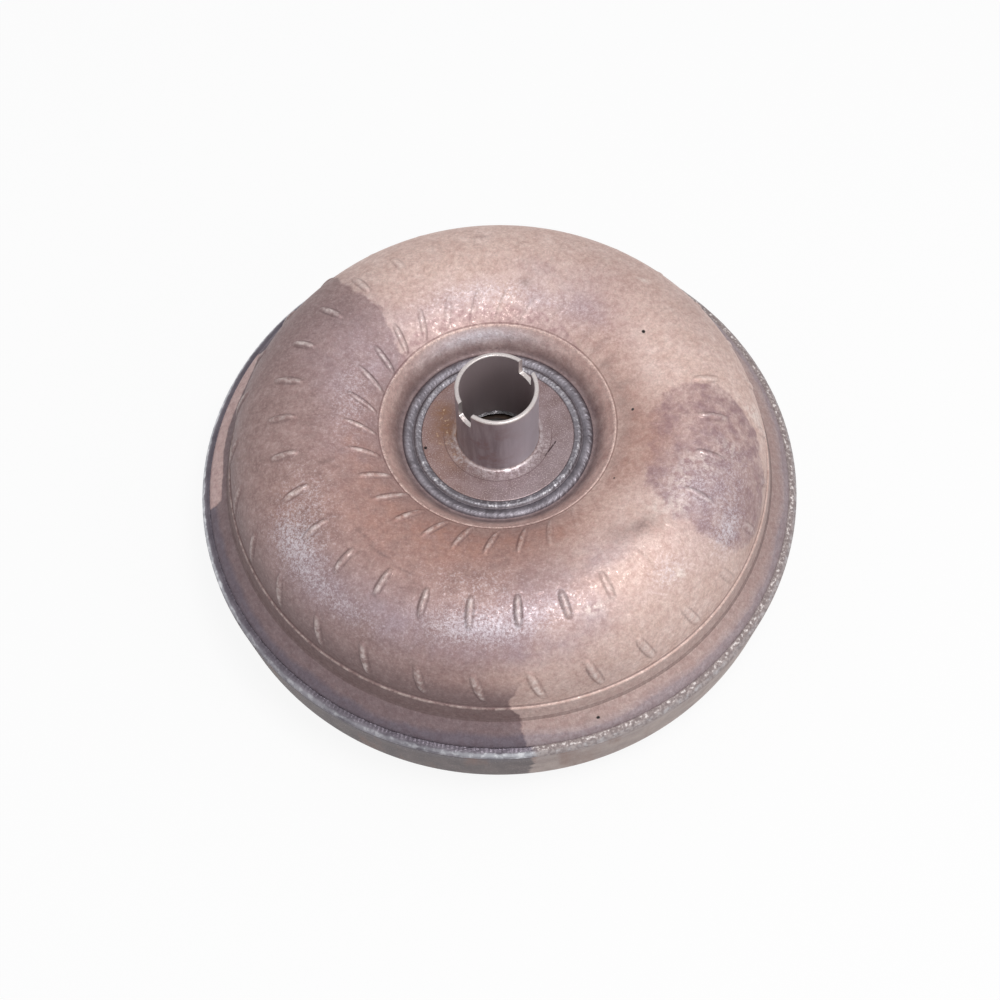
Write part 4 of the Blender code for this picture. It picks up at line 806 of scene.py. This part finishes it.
# brighter lumps of the painted highlight along the crown, fainter on the pale side
silver = times(tree, crown, between(tree, sand["Patch"], 0.5, 0.62))
colour = coated(tree, colour, (214, 214, 218), silver, minus(tree, 1.0, times(tree, pale_side, 0.65)))
flecks = times(tree, between(tree, sand["Crumb"], 0.54, 0.64), band(tree, from_axis, 0.1572, 0.0009))
colour = coated(tree, colour, (216, 209, 207), flecks, pale_side)
rough = plus(tree, between(tree, sand["Fine"], 0.35, 0.65, 0.55, 0.38), times(tree, pale_side, 0.2))
dress(tree, shader, colour, rough, sand["Height"], 0.3, 0.9)
link(tree, between(tree, pale_side, 0, 1, 0.9, 0.35), shader.inputs["Metallic"])

show("closing_weld_bead", closing_bead, "housing", ["closing_weld"], weld_steel, 180)


# Hub weld. Two passes side by side fill the groove between the hub's flange and the shell: a narrow
# bright one on the flange and a wider grey one against the shell.

hub_bead = [
    (39.4, 99.6), (49.8, 99.0), (49.9, 99.75), (49.3, 100.2), (48.6, 100.75), (47.7, 101.15), (46.8, 101.3),
    (45.9, 101.15), (45.0, 100.75), (44.3, 100.35), (43.8, 100.15), (43.3, 100.4), (42.8, 100.9),
    (42.2, 101.2), (41.5, 101.2), (40.8, 100.95), (40.2, 100.75), (39.4, 100.55),
]  # fmt: skip
hub_bead_mesh = ringed("hub_bead", stepped(hub_bead, 0.35), 900, bead_shift(44.0, 0.045, 0.11, 11, 150))

hub_weld_steel, tree, shader, place, sand = finish("hub_weld_steel", 0.92, 0.36, 1.0, 2.0)
x, y, z, from_axis = round_axis(tree, place)
colour = clouded(tree, sand, (112, 107, 113), (142, 137, 144))
inner_pass = minus(tree, 1.0, between(tree, from_axis, 0.0425, 0.0436))
inner_pass = times(tree, inner_pass, between(tree, from_axis, 0.0396, 0.0406))
colour = coated(tree, colour, (130, 127, 132), inner_pass, 0.5)
# painted glints on the inner pass: a painted highlight that is strongest at the front
painted_glints = between(tree, noise(tree, place, 420.0, 3.0, 0.6, 5.0), 0.53, 0.66)
lit_front = between(tree, y, 0.02, -0.02, 0.45, 1.0)
colour = coated(tree, colour, (202, 200, 204), inner_pass, painted_glints, lit_front)
# the valley between the passes, the flank at the flange and the outer foot are painted dark, as painted shade
# in the creases
colour = coated(tree, colour, (92, 84, 88), band(tree, from_axis, 0.0438, 0.0006), 0.7)
flank = minus(tree, 1.0, between(tree, from_axis, 0.0395, 0.0403))
colour = coated(tree, colour, (92, 82, 84), flank, 0.7)
colour = coated(tree, colour, (102, 93, 99), between(tree, from_axis, 0.0480, 0.0494))
dress(tree, shader, colour, between(tree, sand["Fine"], 0.35, 0.65, 0.6, 0.44), sand["Height"], 0.25, 0.8)

show("hub_weld_bead", hub_bead_mesh, "housing", ["hub_weld"], hub_weld_steel, 180)


# Pump-drive hub. A tube turned from one forging with its flange. Two slots in its end drive the
# gearbox's oil pump. The tube runs in a bushing and seal, so it is ground, and oil has darkened it.

hub_outline = [
    (18.7, 145.5, 0), (19.0, 145.9, 0.2), (19.4, 146.0, 0.2), (20.3, 146.0, 0.3), (20.85, 145.5, 0.3),
    (21.0, 145.0, 0.3), (21.0, 102.7, 0), (21.15, 101.6, 0.5), (22.0, 100.75, 0.7), (24.0, 100.7, 0),
    (39.1, 100.7, 0.3), (39.75, 100.2, 0.4), (39.75, 94.0, 0), (38.8, 92.75, 0), (18.7, 92.75, 0),
]  # fmt: skip
SLOT_FLOOR, SLOT_HALF, SLOT_CORNER, SLOT_ANGLE = 135.0, 4.75, 0.9, 38.0
ABOVE_TUBE = 160
hub_mesh = ringed("hub", filleted(hub_outline, 3), 216)


def cut_slots(mesh):
    """Cuts both drive slots, whose corners are a little rounded, and returns the new mesh."""
    whole = bpy.data.objects.new("whole", mesh)
    scene.collection.objects.link(whole)
    low, half, corner = SLOT_FLOOR, SLOT_HALF, SLOT_CORNER
    sides = [(-half, ABOVE_TUBE), (-half, low + corner), (-half + 0.25, low + 0.3), (-half + corner, low)]
    sides += [(-y, z) for y, z in reversed(sides)]
    corners = [(r * MM, y * MM, z * MM) for r in (8.0, 40.0) for y, z in sides]
    n = len(sides)
    skin = [tuple(range(n)), tuple(range(2 * n - 1, n - 1, -1))]
    skin += [(i, i + n, (i + 1) % n + n, (i + 1) % n) for i in range(n)]
    block = bpy.data.meshes.new("slot_cutter")
    block.from_pydata(corners, [], skin)
    facing_out(block)
    tools = []
    for side in (0, 1):
        tool = bpy.data.objects.new("slot_cutter", block)
        tool.rotation_euler.z = math.radians(SLOT_ANGLE) + side * math.pi
        scene.collection.objects.link(tool)
        tools.append(tool)
        cut = whole.modifiers.new("slot", "BOOLEAN")
        cut.object, cut.operation, cut.solver = tool, "DIFFERENCE", "EXACT"
    bpy.context.view_layer.update()
    made = bpy.data.meshes.new_from_object(whole.evaluated_get(bpy.context.evaluated_depsgraph_get()))
    for spare in [whole] + tools:
        bpy.data.objects.remove(spare)
    return made


hub_mesh = cut_slots(hub_mesh)

hub_steel, tree, shader, place, sand = finish("hub_steel", 0.75, 0.42, 1.0, 4.0)
x, y, z, from_axis = round_axis(tree, place)
long_marks = add(tree, "Mapping", {"Vector": place, "Scale": (1.0, 1.0, 0.12)}).outputs[0]
streak = noise(tree, long_marks, 420.0, 3.0, 0.6, 1.0)
tube = tint(tree, between(tree, streak, 0.35, 0.65), srgb(144, 134, 139), srgb(166, 157, 163))
tube = coated(tree, tube, (146, 128, 130), between(tree, sand["Cloud"], 0.5, 0.66))
# a painted sheen lightens the tube on its front-right side, where the light falls
lit_side = towards(tree, place, (0.94, -0.34, 0))
tube = coated(tree, tube, (204, 202, 211), between(tree, lit_side, 0.006, 0.019, 0.0, 0.8))
skin = clouded(tree, sand, (122, 100, 99), (144, 125, 127))
skin = coated(tree, skin, (132, 122, 126), between(tree, minus(tree, x, y), 0.0, 0.06, 0.0, 0.4))
skin = coated(tree, skin, (146, 112, 100), between(tree, x, 0.0, -0.03, 0.0, 0.4))
skin = coated(tree, skin, (188, 174, 174), between(tree, sand["Fine"], 0.54, 0.7, 0.0, 0.75))


def near(spot, reach, soft):
    """1 close to a spot on the hub, in millimetres, and fading out to 0 at its reach."""
    spot = tuple(v * MM for v in spot)
    distance = add(tree, "VectorMath", {0: place, 1: spot}, operation="DISTANCE").outputs["Value"]
    return between(tree, distance, reach * MM, soft * MM)


rust_spread = noise(tree, place, 300.0, 5.0, 0.65, 2.0)
rust_on = maths(tree, "MAXIMUM", near((-25.5, 3.0, 100.7), 13.0, 3.0), near((-28.0, 14.0, 100.7), 9.0, 1.0))
rust_on = maths(tree, "MAXIMUM", rust_on, times(tree, near((-22.0, -12.0, 100.7), 12.0, 2.0), 0.6))
skin = coated(tree, skin, (136, 101, 82), rust_on, between(tree, rust_spread, 0.36, 0.54, 0.45, 1.0))
skin = coated(tree, skin, (204, 176, 150), rust_on, between(tree, rust_spread, 0.6, 0.68))
# rubbed patches with a painted highlight round the front of the tube's foot, a turned line, a pit at the
# left, and a scratch at the right
rub_and_sheen = between(tree, noise(tree, place, 520.0, 5.0, 0.7, 7.0), 0.44, 0.66)
rub_and_sheen = times(tree, rub_and_sheen, between(tree, from_axis, 0.0282, 0.0262), between(tree, y, 0.004, -0.008, 0.0, 0.8))
skin = coated(tree, skin, (190, 178, 178), rub_and_sheen)
turned_line = band(tree, from_axis, 0.0279, 0.0002)
skin = coated(tree, skin, (96, 74, 74), turned_line, between(tree, y, 0.006, -0.004, 0.0, 0.7))
skin = coated(tree, skin, (30, 24, 26), near((-37.4, -7.3, 100.7), 1.1, 0.6))
along_scratch = add(tree, "VectorMath", {0: place, 1: (-0.0269, 0.0096, 0)}).outputs[0]
keys = {"Vector": along_scratch, "Rotation": (0, 0, math.radians(-55.4))}
scratch_x, scratch_y, _ = add(tree, "SeparateXYZ", {"Vector": add(tree, "Mapping", keys).outputs[0]}).outputs
scratch = times(tree, band(tree, scratch_x, 0.0, 0.0052), band(tree, scratch_y, 0.0, 0.0004))
skin = coated(tree, skin, (76, 60, 62), scratch, between(tree, sand["Patch"], 0.4, 0.5))
on_flange = maths(tree, "GREATER_THAN", from_axis, 0.0212)
colour = tint(tree, on_flange, tube, skin)
# a painted highlight on the fillet at the tube's foot, on the side that faces front and right
foot = times(tree, between(tree, from_axis, 0.0211, 0.0216), between(tree, from_axis, 0.0240, 0.0226))
foot = times(tree, foot, maths(tree, "MAXIMUM", near((6.2, -22.2, 100.8), 9.0, 2.0), 0.25))
colour = coated(tree, colour, (228, 222, 224), foot, between(tree, sand["Patch"], 0.42, 0.56))
# worn bright: the chamfered end and the faces of the slots
end_face = between(tree, z, 0.1449, 0.1453)
turn = math.radians(SLOT_ANGLE)
across = minus(tree, times(tree, y, math.cos(turn)), times(tree, x, math.sin(turn)))
in_slot = maths(tree, "LESS_THAN", maths(tree, "ABSOLUTE", across), (SLOT_HALF + 0.07) * MM)
slot_face = times(tree, in_slot, maths(tree, "GREATER_THAN", z, (SLOT_FLOOR - 0.05) * MM))
worn = times(tree, maths(tree, "MAXIMUM", end_face, slot_face), between(tree, streak, 0.2, 0.5, 0.55, 1.0))
colour = coated(tree, colour, (198, 190, 188), worn)
inside_tube = maths(tree, "LESS_THAN", from_axis, 0.01885)
bore_share = times(tree, inside_tube, minus(tree, 1.0, worn))
colour = coated(tree, colour, (164, 148, 150), bore_share)
link(tree, minus(tree, 0.7, times(tree, bore_share, 0.5)), shader.inputs["Metallic"])
rough = between(tree, plus(tree, sand["Fine"], times(tree, worn, 0.3)), 0.3, 1.0, 0.5, 0.25)
turned = maths(tree, "SINE", times(tree, plus(tree, z, from_axis), 9000.0))
sandy = times(tree, sand["Height"], plus(tree, times(tree, on_flange, 0.8), 0.2))
dress(tree, shader, colour, rough, plus(tree, sandy, times(tree, turned, 0.05)), 0.22, 0.7)

show("impeller_hub_tube", hub_mesh, "housing", ["impeller_hub"], hub_steel, 32)


# Front cover. A pressed steel drum with a dished middle. Its wall takes the shell's skirt, and the
# furnace coloured it like the shell: grey-brown on one side of the tide mark, beige on the other.

cover_outline = [
    (0.4, 8.5, 0), (49.6, 8.5, 1.5), (58.2, 12.0, 1.5), (146.9, 12.0, 0), (150.6, 12.75, 1.2),
    (153.8, 14.95, 1.6),
    (155.9, 18.2, 1.6), (156.75, 22.0, 2.0), (160.22, 53.6, 0.4), (160.1, 54.2, 0.3), (159.6, 54.6, 0.2),
    (156.1, 54.6, 0), (156.1, 46.8, 0), (155.3, 46.8, 0), (152.5, 22.0, 0), (150.9, 18.2, 0),
    (146.7, 16.5, 0),
    (58.0, 16.5, 0), (50.0, 13.0, 0), (0.4, 13.0, 0),
]  # fmt: skip
cover_line = stepped(filleted(cover_outline, 4), 6.0)


def cover_shift(radius, height, angle):
    """The wall isn't quite true after welding."""
    wall = np.clip((radius - 153.0) / 4, 0, 1) * np.clip((height - 16) / 6, 0, 1)
    return wall * (0.03 * waves(angle, 6, 21, 2, 14) - 0.05), 0 * wall


cover_mesh = ringed("cover", cover_line, 360, cover_shift)

cover_steel, tree, shader, place, sand = finish("cover_steel", 0.5, 0.55, 1.1, 6.0)
x, y, z = add(tree, "SeparateXYZ", {"Vector": place}).outputs
edge = plus(tree, maths(tree, "ARCTAN2", y, x), swing(tree, sand["Cloud"], 0.06))
dark = minus(tree, 1.0, between(tree, edge, math.radians(TIDE_FRONT), math.radians(TIDE_FRONT + 0.7)))
beyond = between(tree, edge, math.radians(TIDE_BACK), math.radians(TIDE_BACK + 0.7))
dark = maths(tree, "MAXIMUM", dark, beyond)
pale = clouded(tree, sand, (146, 130, 126), (168, 152, 146), 0.36, 0.64)
colour = tint(tree, dark, pale, clouded(tree, sand, (83, 73, 75), (103, 91, 91), 0.36, 0.64))
rim = tint(tree, dark, srgb(164, 151, 149), srgb(104, 98, 104))
colour = tint(tree, between(tree, z, 0.047, 0.053, 0.0, 0.7), colour, rim)
long_drips = add(tree, "Mapping", {"Vector": place, "Scale": (1.0, 1.0, 0.2)}).outputs[0]
drips = noise(tree, long_drips, 60.0, 4.0, 0.6, 2.0)
colour = coated(tree, colour, (126, 92, 78), between(tree, drips, 0.54, 0.68, 0.0, 0.5))
colour = coated(tree, colour, (196, 184, 182), between(tree, sand["Fine"], 0.6, 0.72, 0.0, 0.7))
dress(tree, shader, colour, between(tree, sand["Fine"], 0.3, 0.7, 0.46, 0.64), sand["Height"], 0.22, 0.8)

show("front_cover_pressing", cover_mesh, "housing", ["front_cover"], cover_steel, 40)


# Pilot and drive lugs. The pilot is a turned spigot that centres the converter in the crankshaft. The
# lugs are forged blocks with a drilled hole, welded to the cover, with their faces milled.

machined, tree, shader, place, sand = finish("machined_steel", 0.85, 0.38, 0.8, 7.0)
x, y, z, from_axis = round_axis(tree, place)
bright = clouded(tree, sand, (150, 146, 146), (182, 178, 176))
forged = clouded(tree, sand, (112, 100, 98), (140, 128, 124))
milled = maths(tree, "LESS_THAN", z, 0.0002)
milled = maths(tree, "MAXIMUM", milled, maths(tree, "LESS_THAN", from_axis, 0.0225))
colour = tint(tree, milled, forged, bright)
colour = coated(tree, colour, (132, 92, 70), between(tree, sand["Cloud"], 0.58, 0.68, 0.0, 0.6))
rings = maths(tree, "SINE", times(tree, plus(tree, from_axis, z), 7500.0))
height = plus(tree, times(tree, sand["Height"], 0.5), times(tree, rings, 0.15))
dress(tree, shader, colour, between(tree, sand["Fine"], 0.3, 0.7, 0.5, 0.32), height, 0.2, 0.6)


def repaint(names, material):
    """Gives nodes of the model their finish."""
    for name in names:
        nodes[name].data.materials.clear()
        nodes[name].data.materials.append(material)


def eased(names, width, segments=2):
    """Rounds the sharp edges of nodes a little, so that they catch the light."""
    for name in names:
        round_off = nodes[name].modifiers.new("eased_edges", "BEVEL")
        round_off.width, round_off.segments = width * MM, segments
        round_off.limit_method, round_off.angle_limit = "ANGLE", math.radians(35)
        round_off.use_clamp_overlap = True


lugs = [f"drive_lug_{n}" for n in (1, 2, 3)]
repaint(["pilot_boss"] + lugs, machined)
eased(lugs, 0.8)


# Parts inside the housing. Pressed steel shells and plates, hardened races and rollers, the cast
# stator, springs, the paper lining, the seal and the phenolic washer, all wet with red-brown fluid.


def inner_finish(name, low, high, metallic, roughness, size=1.0, rise=0.5, brushed=0.0, patina=None):
    """A finish from two colours in clouds, with a grain, and rings from turning where it was turned."""
    made, tree, shader, place, sand = finish(name, metallic, sum(roughness) / 2, size, 9.0)
    colour = clouded(tree, sand, low, high, 0.34, 0.64)
    if patina:
        colour = coated(tree, colour, patina, between(tree, sand["Cloud"], 0.52, 0.66, 0.0, 0.7))
    fleck = between(tree, sand["Fine"], 0.3, 0.7, 0.88, 1.1)
    colour = grained(tree, colour, fleck, fleck)
    height = times(tree, sand["Height"], rise)
    if brushed:
        _, _, z, from_axis = round_axis(tree, place)
        rings = maths(tree, "SINE", times(tree, plus(tree, from_axis, z), 8000.0))
        height = plus(tree, height, times(tree, rings, brushed))
    dress(tree, shader, colour, between(tree, sand["Fine"], 0.3, 0.7, *roughness), height, 0.2, 0.7)
    return made


drawn_look = (128, 122, 120), (164, 158, 154), 0.85, (0.46, 0.3)
pressed = inner_finish("pressed_steel", *drawn_look, patina=(142, 116, 98))
ground_look = (146, 144, 146), (182, 180, 182), 0.95, (0.36, 0.2)
hardened = inner_finish("bearing_steel", *ground_look, rise=0.15, brushed=0.12)
sprung = inner_finish("spring_steel", (84, 82, 88), (126, 124, 130), 0.9, (0.44, 0.28), rise=0.3)
cast = inner_finish("cast_aluminium", (168, 166, 164), (198, 196, 192), 0.8, (0.62, 0.42), size=1.4, rise=0.9)
paper = inner_finish("lining_paper", (84, 62, 46), (116, 88, 64), 0.0, (0.95, 0.8), size=0.7, rise=0.9)
seal = inner_finish("seal_polymer", (56, 44, 38), (78, 62, 52), 0.0, (0.6, 0.45), size=0.8, rise=0.3)
washer = inner_finish("phenolic", (62, 48, 42), (84, 66, 56), 0.0, (0.55, 0.4), size=0.8, rise=0.3)
finishes = {
    "pressed_steel": pressed, "bearing_steel": hardened, "spring_steel": sprung, "cast_aluminium": cast,
    "lining_paper": paper, "seal_polymer": seal, "phenolic": washer,
    "hub_steel": hardened, "weld_steel": weld_steel,
    "baked_steel": pressed, "cover_steel": pressed,
}  # fmt: skip
shown = ["impeller_shell", "closing_weld", "hub_weld", "impeller_hub", "front_cover", "pilot_boss"] + lugs
for name, node in nodes.items():
    if name not in shown:
        wanted = [m.name.split(".")[0] for m in node.data.materials if m] or ["pressed_steel"]
        repaint([name], finishes.get(wanted[0], pressed))
